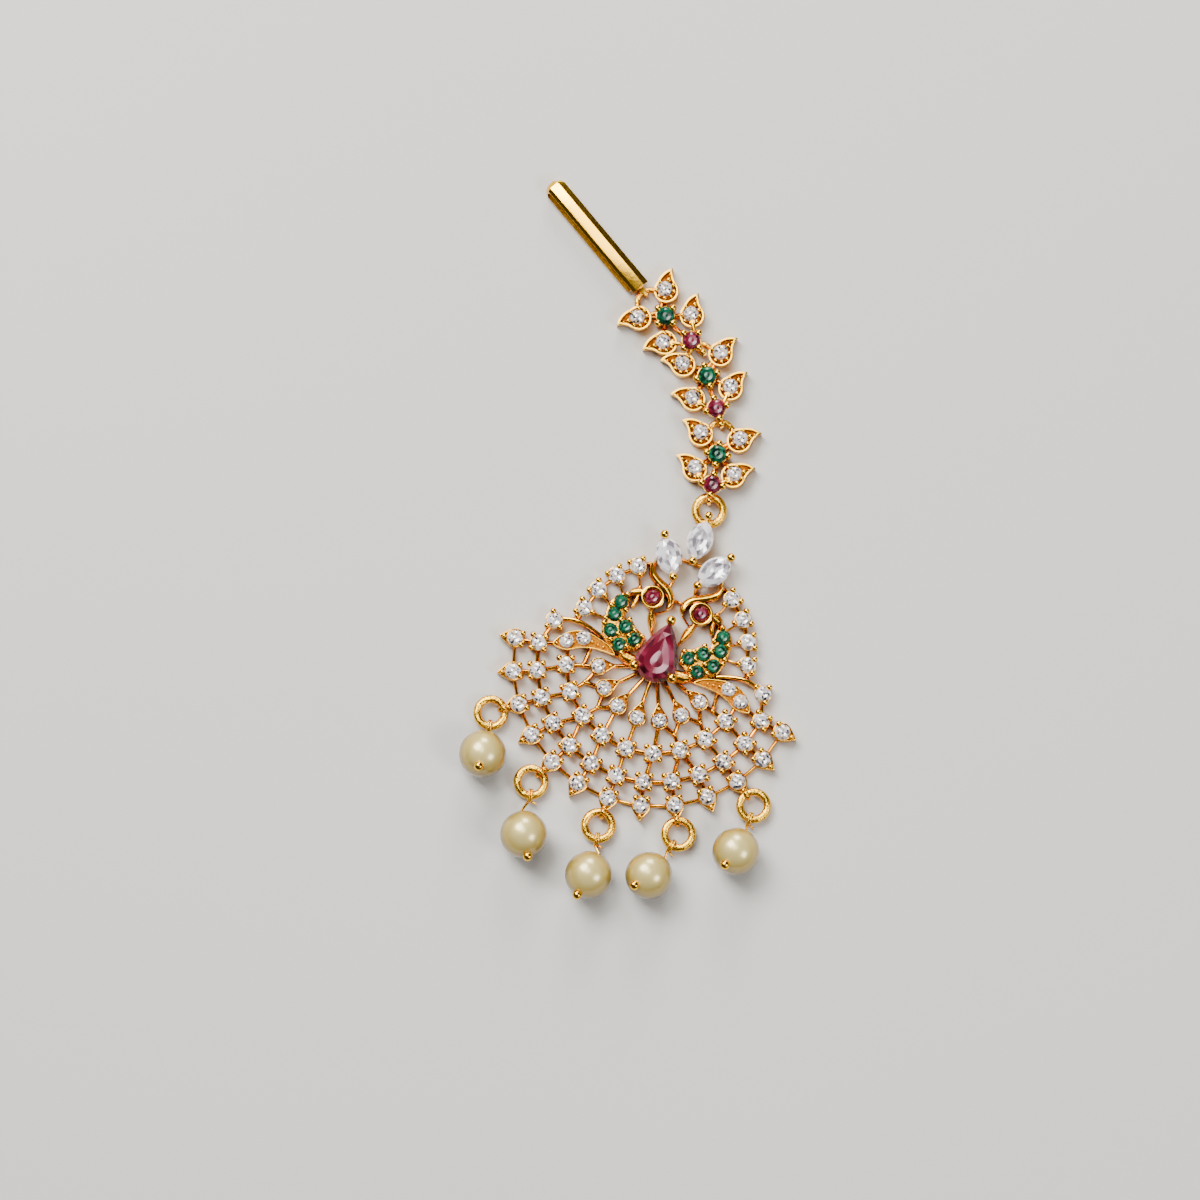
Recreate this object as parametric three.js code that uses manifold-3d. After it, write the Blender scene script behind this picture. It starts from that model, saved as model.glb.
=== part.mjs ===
// Maang tikka, lying face up: hook, three leaf links, jump ring, pierced fan pendant and five pearl drops
// Millimetres, +Z up. The origin is the middle of the footprint, on the surface that the jewel lies on.
import * as THREE from 'three';
import { mergeVertices } from 'three/addons/utils/BufferGeometryUtils.js';
import Module from 'manifold-3d';

const wasm = await Module();
wasm.setup();

// Clearances
const seatGap = 0.08; // stone to metal
const linkGap = 0.08; // wire to the eye that it runs through
const drillGap = 0.1; // pin to the pearl's drilled hole
const shortestEdge = 0.03; // shorter edges left by the joins are closed up
const crumb = 0.001; // cubic millimetres

// Eyes that stand upright on the surface, round a wire that lies flat
const eyeWall = 0.3;
const eyeDepth = 0.54;

// Stones
const facets = 8;
const whiteRadius = 1.0;
const petalStoneRadius = 0.88;
const leafStoneRadius = 0.98;
const linkStoneRadius = 1.08;
const greenRadius = 0.8;
const eyeStoneRadius = 0.97;
const pearWidth = 4.8;
const pearLength = 7.35;
const marquiseWidth = 3.2;
const marquiseLength = 5.0;
const smallCut = { crown: 0.4, girdle: 0.08, pavilion: 0.5, table: 0.58 };
const marquiseCut = { crown: 0.6, girdle: 0.12, pavilion: 1.0, table: 0.56 };
const pearCut = { crown: 0.85, girdle: 0.15, pavilion: 1.25, table: 0.62 };
const seatShare = 0.8; // radius of the hole behind a small stone, as a share of the stone's

// Pendant: rows of the fan about the pear stone's round end
const pendantTurn = -19.6;
const petalRow = { radius: 6.9, count: 7, step: 22.5 };
const innerRow = { beyond: 3.88, count: 9, step: 17.45 };
const middleRow = { beyond: 3.47, count: 13, step: 13.45 };
const outerRow = { beyond: 2.85, count: 13, step: 13.45 };
const shoulderStone = { radius: 13.2, angle: 93.6 };
const halo = { centre: 1.7, radius: 10.45, count: 4, start: 34.7, step: 15.25 };
const netThick = 0.75;
const netBarWidth = 0.5;
const rimBarWidth = 0.38;
const cupHeight = 1.35;
const cupFoot = 0.82;
const prongBead = 0.32;
const dropReach = 1.95;
const dropWall = 0.15;
const petalReach = 2.2;
const petalWall = 0.2;
const forkRadius = 8.75;

// Pendant: the bird pair, the wings and the tall stones
const reliefHeight = 1.45;
const wingHeight = 1.1;
const eyeBezel = { x: 3.05, y: 7.35, wall: 0.4, height: 1.7, seat: 1.15 };
const pearCollar = { height: 2.2, outer: 0.98, inner: 0.86, lift: 0.25, plate: 0.5 };
const pearProng = { post: 0.3, ball: 0.5, reach: 0.42, low: -1.25 };
const marquiseCollar = { foot: 1.6, height: 0.35, outer: 0.96, inner: 0.82, lift: 0.3 };
const marquiseProng = { post: 0.2, ball: 0.44, reach: 0.36 };
const sideMarquise = { x: 2.87, y: 12.55, turn: 30.5 };
const topMarquise = { x: 0, y: 15.5, turn: 0 };
const tieThick = 0.45;
const pendantEye = 2.35; // from the top stone's centre to the jump ring's wire

// Leaf links
const leafStone = { side: 2.38, upper: 2.4, lower: 1.92 };
const leafFloor = 1.25;
const leafRim = 1.6;
const leafRimShare = 0.84;
const linkCupWall = 0.12;
const linkCupTop = 1.95;
const linkBarWidth = 0.75;
const linkBarThick = 1.0;
const linkProng = 0.38;
const linkProngWidth = 0.42;
const hoop = { beyond: 2.6, radius: 1.5, wire: 0.36, sides: 5, steps: 12 };
const linkEyeReach = 2.1; // clear length of the eye beyond the lower stone's centre

// Jump rings
const mainRing = { radius: 1.65, wire: 0.52, sides: 6, steps: 14, bearing: -12.4 };
const dropRing = { radius: 1.64, wire: 0.49, sides: 6, steps: 14 };
const ringReach = 3.45; // from an outer stone's centre to its ring's centre

// How each link lies: its turn, the bearing at which it touches the loop below,
// how far the loop's wire sits below its lower stone, and the distance between its stones
const links = [
  { name: 'link_lower', turn: -9.7, bearing: -3.8, seat: 1.4, drop: 3.7 },
  { name: 'link_middle', turn: 16, bearing: 3.5, seat: 1.55, drop: 4.1 },
  { name: 'link_upper', turn: 45.7, bearing: 28.5, seat: 0.62, drop: 4.31 },
];

// Hook: a flat hairpin with a crease, its free arm underneath
const hook = { turn: 39.6, bearing: 31, length: 17.3, width: 2.25, thick: 0.8, slot: 0.7 };
const hookArms = { front: 0.5, free: 1.2, skew: -0.35 };
const hookSection = [
  { across: -0.5, up: 0 },
  { across: 0.5, up: 0 },
  { across: 0.5, up: 0.45 },
  { across: 0.2, up: 1 },
  { across: -0.32, up: 0.9 },
  { across: -0.5, up: 0.5 },
];

// Pearl drops: the outer stone that each hangs from, the pearl's centre seen from its ring's,
// and the bearing and slope of its pin
const pearlRadius = 2.82;
const pearlSides = 12;
const pinRadius = 0.15;
const pinBall = 0.48;
const pinSides = 5;
const drops = [
  { stone: -4, x: 0.83, y: -5.18, bearing: 6.6, slope: 56 },
  { stone: -2, x: 1.38, y: -6.38, bearing: 29.7, slope: 28 },
  { stone: 0, x: 0.95, y: -6.11, bearing: -8.9, slope: 26 },
  { stone: 2, x: -1.62, y: -6.0, bearing: -31.5, slope: 46 },
  { stone: 4, x: -0.13, y: -6.04, bearing: -17, slope: 45 },
];

// Green stones of the right wing, and the small beads between them
const greenStones = [
  { x: 6.45, y: 5.6 },
  { x: 6.7, y: 3.95 },
  { x: 6.5, y: 1.95 },
  { x: 4.93, y: 2.95 },
  { x: 3.4, y: 1.85 },
  { x: 4.93, y: 0.65 },
];
const wingEdge = [
  { x: 5.5, y: 6.45 },
  { x: 7.15, y: 6.45 },
  { x: 7.9, y: 5.0 },
  { x: 7.75, y: 2.3 },
  { x: 7.3, y: 0.9 },
  { x: 6.3, y: 0.1 },
  { x: 4.9, y: -0.5 },
  { x: 3.6, y: 0.2 },
  { x: 2.4, y: 1.0 },
  { x: 2.2, y: 2.6 },
  { x: 3.6, y: 3.25 },
  { x: 4.5, y: 4.0 },
  { x: 5.5, y: 3.9 },
  { x: 5.35, y: 5.0 },
];
const wingBeads = [
  { x: 7.55, y: 4.95 },
  { x: 5.5, y: 4.85 },
  { x: 7.6, y: 3.1 },
  { x: 5.62, y: 3.9 },
  { x: 7.6, y: 2.3 },
  { x: 3.9, y: 3.4 },
  { x: 4.5, y: 1.8 },
  { x: 5.45, y: 1.62 },
  { x: 6.1, y: 0.75 },
  { x: 2.5, y: 2.45 },
  { x: 3.6, y: 0.75 },
  { x: 4.5, y: -0.2 },
];

// Ribbons of the right side, each a row of points with the width there
const neckAndBeak = [
  { x: 4.5, y: 11.4, width: 0.5 },
  { x: 4.05, y: 10.1, width: 0.85 },
  { x: 2.95, y: 9.3, width: 1.05 },
  { x: 1.75, y: 8.7, width: 1.15 },
  { x: 1.0, y: 7.9, width: 1.0 },
  { x: 0.85, y: 7.15, width: 0.8 },
  { x: 1.0, y: 6.45, width: 0.35 },
];
const wattle = [
  { x: 2.75, y: 6.2, width: 0.45 },
  { x: 2.5, y: 5.3, width: 0.95 },
  { x: 2.2, y: 4.5, width: 1.05 },
  { x: 1.85, y: 3.3, width: 0.4 },
];
const breast = [
  { x: 4.3, y: 7.6, width: 0.9 },
  { x: 5.0, y: 7.35, width: 1.3 },
  { x: 5.75, y: 7.0, width: 0.9 },
];
const shoulderBar = [
  { x: 12.5, y: 1.3, width: 0.6 },
  { x: 10.9, y: 1.65, width: 0.62 },
  { x: 9.4, y: 1.5, width: 0.62 },
  { x: 8.0, y: 1.1, width: 0.6 },
  { x: 7.2, y: 0.8, width: 0.6 },
];
const pearShoulder = [
  { x: 4.6, y: -0.3, width: 0.9 },
  { x: 3.6, y: -0.5, width: 1.5 },
  { x: 2.35, y: -0.6, width: 1.5 },
];

// Outline of the right leaf beside the fan, from its tip, and its stones
const wideLeaf = [
  { x: 12.45, y: -1.95 },
  { x: 11.9, y: -0.7 },
  { x: 10.7, y: 0.35 },
  { x: 9.1, y: 0.8 },
  { x: 7.4, y: 0.55 },
  { x: 5.9, y: 0.1 },
  { x: 4.9, y: -0.75 },
  { x: 6.4, y: -0.8 },
  { x: 8.0, y: -0.95 },
  { x: 9.4, y: -1.4 },
  { x: 10.7, y: -2.1 },
];
const wideLeafStones = [
  { x: 11.0, y: -1.0 },
  { x: 9.15, y: -0.05 },
];

const wideLeafTies = [
  { x: 11.8, y: -1.5 },
  { x: 8.0, y: -0.5 },
  { x: 10.6, y: -1.6 },
];

// Thin wires from the halo stones to the right wing and head
const haloWires = [
  { x: 4.9, y: 8.0 },
  { x: 6.5, y: 6.3 },
  { x: 7.4, y: 4.9 },
  { x: 7.4, y: 3.2 },
];

const gold = { color: 0xe0b04a, roughness: 0.22, metalness: 1 };
const ruby = { color: 0xa81f3d, roughness: 0.08, metalness: 0 };
const emerald = { color: 0x0b6b46, roughness: 0.08, metalness: 0 };
const zirconia = { color: 0xf2f2f5, roughness: 0.04, metalness: 0 };
const pearl = { color: 0xe9e0bc, roughness: 0.3, metalness: 0 };

const radians = THREE.MathUtils.degToRad;
const sides = [
  { name: 'left', flip: -1 },
  { name: 'right', flip: 1 },
];
const flipped = (point, flip) => ({ ...point, x: flip * point.x });

// Place at a radius and a bearing from straight down
function polar(radius, bearing) {
  const angle = radians(bearing);
  return { x: radius * Math.sin(angle), y: -radius * Math.cos(angle) };
}

// Place seen from a turned frame, in the frame around it
function outOf(frame, { x, y }) {
  const angle = radians(frame.turn);
  return {
    x: frame.x + x * Math.cos(angle) - y * Math.sin(angle),
    y: frame.y + x * Math.sin(angle) + y * Math.cos(angle),
  };
}

// Closed geometry as a solid for joining and cutting
function solid(geometry) {
  const bare = new THREE.BufferGeometry();
  bare.setAttribute('position', geometry.getAttribute('position'));
  bare.setIndex(geometry.index);
  const merged = mergeVertices(bare, 1e-4);
  const corners = merged.index.array;
  const kept = [];
  for (let i = 0; i < corners.length; i += 3) {
    const [a, b, c] = corners.slice(i, i + 3);
    if (a !== b && b !== c && c !== a) kept.push(a, b, c);
  }
  const vertProperties = merged.attributes.position.array;
  return new wasm.Manifold(new wasm.Mesh({ numProp: 3, vertProperties, triVerts: new Uint32Array(kept) }));
}

const joined = (shapes) => wasm.Manifold.union(shapes.map(solid));

// Solid back to a geometry, its flat faces merged, its shortest edges closed up and crumbs left out
function geometryOf(body) {
  const whole = body.asOriginal().simplify(shortestEdge).decompose();
  const kept = whole.filter((piece) => piece.volume() > crumb);
  const { vertProperties, triVerts } = wasm.Manifold.compose(kept).getMesh();
  const geometry = new THREE.BufferGeometry();
  geometry.setAttribute('position', new THREE.BufferAttribute(vertProperties, 3));
  geometry.setIndex(new THREE.BufferAttribute(triVerts, 1));
  geometry.computeVertexNormals();
  return geometry;
}

const placed = (shape, { x, y, turn = 0 }) => shape.rotateZ(radians(turn)).translate(x, y, 0);

// Round shape about +Z from pairs of radius and height
function turned(profile, count) {
  const points = profile.map(([radius, height]) => new THREE.Vector2(radius, height));
  return new THREE.LatheGeometry(points, count, Math.PI / count).rotateX(Math.PI / 2);
}

const post = (radius, bottom, top, count = 6) =>
  turned([[0, bottom], [radius, bottom], [radius, top], [0, top]], count);

const ball = ({ x, y }, z, radius) => new THREE.IcosahedronGeometry(radius).translate(x, y, z);
const bead = ({ x, y }, z, radius) => new THREE.OctahedronGeometry(radius).translate(x, y, z);

// Straight bar between two places
function bar(from, to, width, bottom, top) {
  const length = Math.hypot(to.x - from.x, to.y - from.y);
  return new THREE.BoxGeometry(length, width, top - bottom)
    .rotateZ(Math.atan2(to.y - from.y, to.x - from.x))
    .translate((from.x + to.x) / 2, (from.y + to.y) / 2, (bottom + top) / 2);
}

// Upright prism on an outline
function prism(outline, bottom, top) {
  const settings = { depth: top - bottom, bevelEnabled: false, curveSegments: 6 };
  return new THREE.ExtrudeGeometry(outline, settings).translate(0, 0, bottom);
}

// Flat strip along a smooth line, with its own width at each point
function ribbon(rows, top) {
  const line = new THREE.CatmullRomCurve3(rows.map(({ x, y, width }) => new THREE.Vector3(x, y, width)));
  const steps = 2 * rows.length;
  const left = [];
  const right = [];
  for (let i = 0; i <= steps; i++) {
    const at = line.getPoint(i / steps);
    const way = line.getTangent(i / steps).setZ(0).normalize();
    left.push(new THREE.Vector2(at.x - (way.y * at.z) / 2, at.y + (way.x * at.z) / 2));
    right.unshift(new THREE.Vector2(at.x + (way.y * at.z) / 2, at.y - (way.x * at.z) / 2));
  }
  return prism(new THREE.Shape([...left, ...right]), 0, top);
}

// Skin over copies of one outline, each with its share of the size and its height
function lofted(outline, levels) {
  const count = outline.length;
  const positions = levels.flatMap(([share, z]) => outline.flatMap(({ x, y }) => [x * share, y * share, z]));
  const last = (levels.length - 1) * count;
  const caps = THREE.ShapeUtils.triangulateShape(outline, []);
  const faces = caps.flatMap(([a, b, c]) => [c, b, a, last + a, last + b, last + c]);
  for (let level = 0; level < last; level += count) {
    for (let i = 0; i < count; i++) {
      const a = level + i;
      const b = level + ((i + 1) % count);
      faces.push(a, b, b + count, a, b + count, a + count);
    }
  }
  const geometry = new THREE.BufferGeometry();
  geometry.setAttribute('position', new THREE.Float32BufferAttribute(positions, 3));
  geometry.setIndex(faces);
  return geometry;
}

// Outline of a disc with one point, towards +X
function dropOutline(radius, reach) {
  const open = Math.acos(radius / reach);
  const outline = new THREE.Shape();
  outline.moveTo(reach, 0);
  outline.absarc(0, 0, radius, open, 2 * Math.PI - open, false);
  return outline.extractPoints(4).shape;
}

// Outline of the pear stone, its round end about the origin and its point towards +Y
function pearOutline() {
  const radius = pearWidth / 2;
  const tip = pearLength - radius;
  const outline = new THREE.Shape();
  outline.moveTo(0, tip);
  outline.quadraticCurveTo(-radius * 0.72, tip * 0.62, -radius, 0);
  outline.absarc(0, 0, radius, Math.PI, 2 * Math.PI, false);
  outline.quadraticCurveTo(radius * 0.72, tip * 0.62, 0, tip);
  return withoutRepeats(outline.extractPoints(6).shape);
}

// Outline of a marquise stone, two arcs that meet in points on the Y axis
function marquiseOutline() {
  const half = marquiseLength / 2;
  const bulge = marquiseWidth / 2;
  const radius = (half * half + bulge * bulge) / (2 * bulge);
  const sweep = Math.asin(half / radius);
  const outline = new THREE.Shape();
  outline.absarc(bulge - radius, 0, radius, -sweep, sweep, false);
  outline.absarc(radius - bulge, 0, radius, Math.PI - sweep, Math.PI + sweep, false);
  return withoutRepeats(outline.extractPoints(3).shape);
}

// Outline of a link's leaf, its stone at the origin and its curled point out to the right
function leafOutline(flip) {
  const outline = new THREE.Shape();
  outline.moveTo(2.45, 1.02);
  outline.quadraticCurveTo(1.3, 1.75, -0.06, 1.2);
  outline.absarc(-0.06, -0.3, 1.5, Math.PI / 2, 2 * Math.PI - 0.12, false);
  outline.quadraticCurveTo(1.55, 0.4, 2.45, 1.02);
  const points = withoutRepeats(outline.extractPoints(3).shape);
  if (flip > 0) return points;
  return points.map(({ x, y }) => new THREE.Vector2(-x, y)).reverse();
}

function withoutRepeats(points) {
  return points.filter((point, i) => point.distanceTo(points[(i + 1) % points.length]) > 0.01);
}

const scaled = (outline, share) => outline.map(({ x, y }) => new THREE.Vector2(x * share, y * share));

// Ring of metal under a stone of any outline
function collar(outline, { outer, inner }, bottom, top) {
  const shape = new THREE.Shape(scaled(outline, outer));
  shape.holes.push(new THREE.Path(scaled(outline, inner)));
  return prism(shape, bottom, top);
}

// Faceted stone of any outline: keel, girdle, crown and table
function cutStone(outline, cut, girdle) {
  return lofted(outline, [
    [0.06, girdle - cut.pavilion],
    [1, girdle],
    [1, girdle + cut.girdle],
    [cut.table, girdle + cut.girdle + cut.crown],
  ]);
}

// Round stone over the seat of a well
const girdleRise = smallCut.pavilion * (1 - seatShare) + seatGap;

function roundStone(radius, seat) {
  const girdle = seat + girdleRise;
  const crown = girdle + smallCut.girdle;
  return turned(
    [
      [0, girdle - smallCut.pavilion],
      [radius, girdle],
      [radius, crown],
      [radius * smallCut.table, crown + smallCut.crown],
      [0, crown + smallCut.crown],
    ],
    facets,
  );
}

// Room for a round stone, to be cut out of its cup from a height up
function well(place, radius, seat, bottom) {
  const profile = [
    [0, bottom],
    [radius * seatShare, bottom],
    [radius * seatShare, seat],
    [radius + seatGap, seat],
    [radius + seatGap, seat + 3],
    [0, seat + 3],
  ];
  return placed(turned(profile, facets), place);
}

// White stone in one with the cup that holds it
function stoneInCup(place, foot) {
  const profile = [
    [0, 0],
    [foot, 0],
    [whiteRadius, cupHeight],
    [whiteRadius * smallCut.table, cupHeight + smallCut.crown],
    [0, cupHeight + smallCut.crown],
  ];
  return placed(turned(profile, facets), place);
}

// Crown of a white stone that stands on a leaf or a petal
function crownOn(place, radius, plate) {
  const profile = [
    [0, plate / 2],
    [radius, plate / 2],
    [radius, plate + smallCut.girdle],
    [radius * smallCut.table, plate + smallCut.girdle + smallCut.crown],
    [0, plate + smallCut.girdle + smallCut.crown],
  ];
  return placed(turned(profile, facets), place);
}

const wireHeight = (wire) => eyeWall + linkGap + wire;
const eyeTop = (wire) => 2 * (wire + linkGap + eyeWall);

// Outline of an eye's edge in its upright plane, with cut corners
function eyeEdge(from, to, low, high) {
  const cut = eyeWall / 2;
  return [
    new THREE.Vector2(from + cut, low),
    new THREE.Vector2(to - cut, low),
    new THREE.Vector2(to, low + cut),
    new THREE.Vector2(to, high - cut),
    new THREE.Vector2(to - cut, high),
    new THREE.Vector2(from + cut, high),
    new THREE.Vector2(from, high - cut),
    new THREE.Vector2(from, low + cut),
  ];
}

// Upright eye along +Y, clear between two places for a wire that lies flat
function uprightEye(from, to, wire) {
  const top = eyeTop(wire);
  const shape = new THREE.Shape(eyeEdge(from - eyeWall, to + eyeWall, 0, top));
  shape.holes.push(new THREE.Path(eyeEdge(from, to, eyeWall, top - eyeWall)));
  const eye = new THREE.ExtrudeGeometry(shape, { depth: eyeDepth, bevelEnabled: false });
  return eye.translate(0, 0, -eyeDepth / 2).rotateX(Math.PI / 2).rotateZ(Math.PI / 2);
}

const snugEye = (wire) => uprightEye(-wire - linkGap, wire + linkGap, wire);

function flatRing({ radius, wire, sides: around, steps }) {
  return new THREE.TorusGeometry(radius, wire, around, steps).translate(0, 0, wireHeight(wire));
}

// Places of one row of the fan, with their bearings
function fanRow({ count, step }, radius) {
  return Array.from({ length: count }, (_, i) => {
    const index = i - (count - 1) / 2;
    return { ...polar(radius, index * step), bearing: index * step, index };
  });
}

const innerRadius = petalRow.radius + innerRow.beyond;
const middleRadius = innerRadius + middleRow.beyond;
const outerRadius = middleRadius + outerRow.beyond;
const petals = fanRow(petalRow, petalRow.radius);
const innerStones = fanRow(innerRow, innerRadius);
const middleStones = fanRow(middleRow, middleRadius);
const outerStones = fanRow(outerRow, outerRadius);
const shoulders = [-1, 1].map((flip) => polar(shoulderStone.radius, flip * shoulderStone.angle));

const distance = (a, b) => Math.hypot(a.x - b.x, a.y - b.y);
const nearest = (point, places) =>
  places.reduce((best, place) => (distance(place, point) < distance(best, point) ? place : best));

// Place further out along the spoke through a stone
function beyond(stone, reach) {
  const out = polar(reach, stone.bearing);
  return { x: stone.x + out.x, y: stone.y + out.y };
}

const netBar = (from, to, width = netBarWidth) => bar(from, to, width, 0, netThick);
const netChain = (places, width) => places.slice(1).map((place, i) => netBar(places[i], place, width));

// Inner and middle rows, tied to each other and to the shoulder stones
function net() {
  const shapes = [...netChain(innerStones), ...netChain([shoulders[0], ...middleStones, shoulders[1]])];
  for (const stone of [...innerStones, ...middleStones, ...shoulders]) {
    shapes.push(stoneInCup(stone, whiteRadius * cupFoot));
  }
  for (const stone of middleStones.slice(1, -1)) shapes.push(netBar(stone, nearest(stone, innerStones)));
  return shapes;
}

// Outermost row: pointed cups, or round ones with an eye where a drop hangs
function outerCups() {
  const outline = dropOutline(whiteRadius + dropWall, dropReach);
  const hanging = new Set(drops.map(({ stone }) => stone));
  const wireAt = ringReach - dropRing.radius;
  const shapes = netChain(outerStones, rimBarWidth);
  outerStones.forEach((stone, i) => {
    shapes.push(stoneInCup(stone, whiteRadius), netBar(stone, middleStones[i]));
    if (hanging.has(stone.index)) {
      const eye = snugEye(dropRing.wire).translate(0, -wireAt, 0);
      shapes.push(placed(eye, { ...stone, turn: stone.bearing }));
      shapes.push(bar(stone, beyond(stone, 1.15), eyeDepth, 0, cupHeight));
      shapes.push(bead(beyond(stone, wireAt), eyeTop(dropRing.wire), prongBead));
    } else {
      const cup = lofted(outline, [[0.8, 0], [1, cupHeight], [0.9, cupHeight + 0.1]]);
      shapes.push(placed(cup, { ...stone, turn: stone.bearing - 90 }));
    }
  });
  return shapes;
}

// Petals round the pear stone, with bars in to it and forks out to the inner row
function petalRing() {
  const outline = dropOutline(petalStoneRadius + petalWall, petalReach);
  const shapes = [];
  for (const petal of petals) {
    const cup = lofted(outline, [[0.85, 0], [1, cupHeight], [0.88, cupHeight + 0.1]]);
    shapes.push(placed(cup, { ...petal, turn: petal.bearing + 90 }));
    shapes.push(crownOn(petal, petalStoneRadius, cupHeight));
    shapes.push(netBar(polar(pearWidth * 0.45, petal.bearing), petal));
  }
  for (const petal of petals.slice(2, -2)) shapes.push(netBar(petal, nearest(petal, innerStones)));
  for (const i of [0, 1, 4, 5]) {
    const fork = polar(forkRadius, (petals[i].bearing + petals[i + 1].bearing) / 2);
    for (const end of [petals[i], petals[i + 1], nearest(fork, innerStones)]) shapes.push(netBar(fork, end));
    shapes.push(placed(post(netBarWidth * 0.65, 0, netThick), fork));
  }
  return shapes;
}

// Long leaves beside the fan and the curved bars over them
function wideLeaves(flip) {
  const corners = wideLeaf.map(({ x, y }) => new THREE.Vector3(flip * x, y, 0));
  const outline = new THREE.CatmullRomCurve3(corners, true).getPoints(22).slice(0, -1);
  const [tip, under, low] = wideLeafTies.map((place) => flipped(place, flip));
  const fork = polar(forkRadius, flip * 69.5);
  return [
    prism(new THREE.Shape(outline), 0, cupHeight),
    ...wideLeafStones.map((stone) => crownOn(flipped(stone, flip), petalStoneRadius, cupHeight)),
    ribbon(shoulderBar.map((row) => flipped(row, flip)), reliefHeight),
    netBar(tip, nearest(tip, middleStones)),
    netBar(low, nearest(low, innerStones)),
    placed(post(netBarWidth * 0.65, 0, netThick), fork),
    netBar(fork, under),
    netBar(fork, nearest(fork, innerStones)),
    netBar(fork, nearest(fork, petals)),
    netBar({ x: flip * 6.4, y: -0.3 }, { x: flip * 4.4, y: -0.4 }, 0.8),
    netBar({ x: flip * 7.4, y: 0.9 }, { x: flip * 7.0, y: 0.0 }, 0.8),
  ];
}

// Arc of stones round the head, with wires in to the wing
function haloArc(flip) {
  const stones = Array.from({ length: halo.count }, (_, i) => {
    const bearing = flip * (180 - halo.start - i * halo.step);
    const { x, y } = polar(halo.radius, bearing);
    return { x, y: y + halo.centre, bearing };
  });
  const wires = haloWires.map((end) => flipped(end, flip));
  return [
    ...stones.map((stone) => stoneInCup(stone, whiteRadius * cupFoot)),
    ...netChain([flipped(neckAndBeak[0], flip), ...stones, { x: flip * 10.7, y: 1.65 }]),
    ...stones.map((stone, i) => netBar(stone, wires[i], rimBarWidth)),
    ...wires.map((end) => bead(end, netThick, prongBead)),
  ];
}

// Head, bezel, wattle and breast of one bird, with the wires that tie them
function bird(flip) {
  const rows = (list) => list.map((row) => flipped(row, flip));
  const [eye, beak] = [flipped(eyeBezel, flip), flipped(neckAndBeak.at(-1), flip)];
  const [throat, chest] = [flipped(wattle[1], flip), flipped(breast[0], flip)];
  return [
    ribbon(rows(neckAndBeak), reliefHeight),
    ribbon(rows(wattle), reliefHeight),
    ribbon(rows(breast), reliefHeight),
    ribbon(rows(pearShoulder), wingHeight),
    placed(post(eyeStoneRadius + seatGap + eyeBezel.wall, 0, eyeBezel.height, 12), eye),
    netBar(throat, beak, 0.3),
    netBar(throat, chest, 0.3),
    netBar(flipped(breast[2], flip), flipped(wingEdge[0], flip), 0.6),
    bar({ x: flip * 1.9, y: 3.5 }, { x: flip * 1.35, y: 2.5 }, 0.4, 0, wingHeight),
    netBar({ x: 0, y: neckAndBeak[4].y }, flipped(neckAndBeak[4], flip), 0.4),
    netBar({ x: flip * 1.46, y: 10.15 }, flipped(neckAndBeak[3], flip)),
  ];
}

// One wing: a plate with beads, the wells for its stones still to be cut
function wing(flip) {
  const edge = wingEdge.map(({ x, y }) => new THREE.Vector2(flip * x, y));
  return [
    prism(new THREE.Shape(edge), 0, wingHeight),
    ...wingBeads.map((place) => bead(flipped(place, flip), wingHeight + 0.1, 0.27)),
  ];
}

// Back plate, collar and prongs of the pear stone
function pearSetting() {
  const outline = pearOutline();
  const girdle = pearCollar.height + pearCollar.lift;
  const radius = pearWidth / 2 + pearProng.reach;
  const low = { x: Math.sqrt(radius ** 2 - pearProng.low ** 2), y: pearProng.low };
  const places = [{ x: 0, y: pearLength - pearWidth / 2 + pearProng.reach }, low, flipped(low, -1)];
  const shapes = [
    collar(outline, pearCollar, 0, pearCollar.height),
    prism(new THREE.Shape(scaled(outline, 0.92)), 0, pearCollar.plate),
  ];
  for (const place of places) {
    const inner = { x: place.x * 0.8, y: place.y * 0.8 };
    shapes.push(bar(inner, place, pearProng.post * 1.6, 0, pearCollar.height));
    shapes.push(placed(post(pearProng.post, 0, girdle + 0.45), place));
    shapes.push(ball(place, girdle + 0.55, pearProng.ball));
  }
  return shapes;
}

const marquises = [
  { name: 'marquise_left', ...flipped(sideMarquise, -1) },
  { name: 'marquise_top', ...topMarquise },
  { name: 'marquise_right', ...sideMarquise, turn: -sideMarquise.turn },
];
const marquiseGirdle = marquiseCollar.foot + marquiseCollar.height + marquiseCollar.lift;
const marquiseTip = marquiseLength / 2 + marquiseProng.reach;
const ringPost = pendantEye + mainRing.wire + linkGap + marquiseProng.post;

// Collar, two pronged posts and the base bar of one marquise stone
function marquiseSetting(place, top) {
  const { foot, height } = marquiseCollar;
  const width = 2 * marquiseProng.post;
  const rim = marquiseLength * 0.45;
  const shapes = [
    collar(marquiseOutline(), marquiseCollar, foot, foot + height),
    bar({ x: 0, y: -marquiseTip }, { x: 0, y: top }, eyeDepth, 0, eyeWall),
    bar({ x: 0, y: rim }, { x: 0, y: top }, width, foot, foot + height),
    bar({ x: 0, y: -rim }, { x: 0, y: -marquiseTip }, width, foot, foot + height),
  ];
  for (const y of [-marquiseTip, top]) {
    shapes.push(post(marquiseProng.post, 0, marquiseGirdle + 0.4).translate(0, y, 0));
    shapes.push(ball({ x: 0, y }, marquiseGirdle + 0.5, marquiseProng.ball));
  }
  return shapes.map((shape) => placed(shape, place));
}

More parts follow.
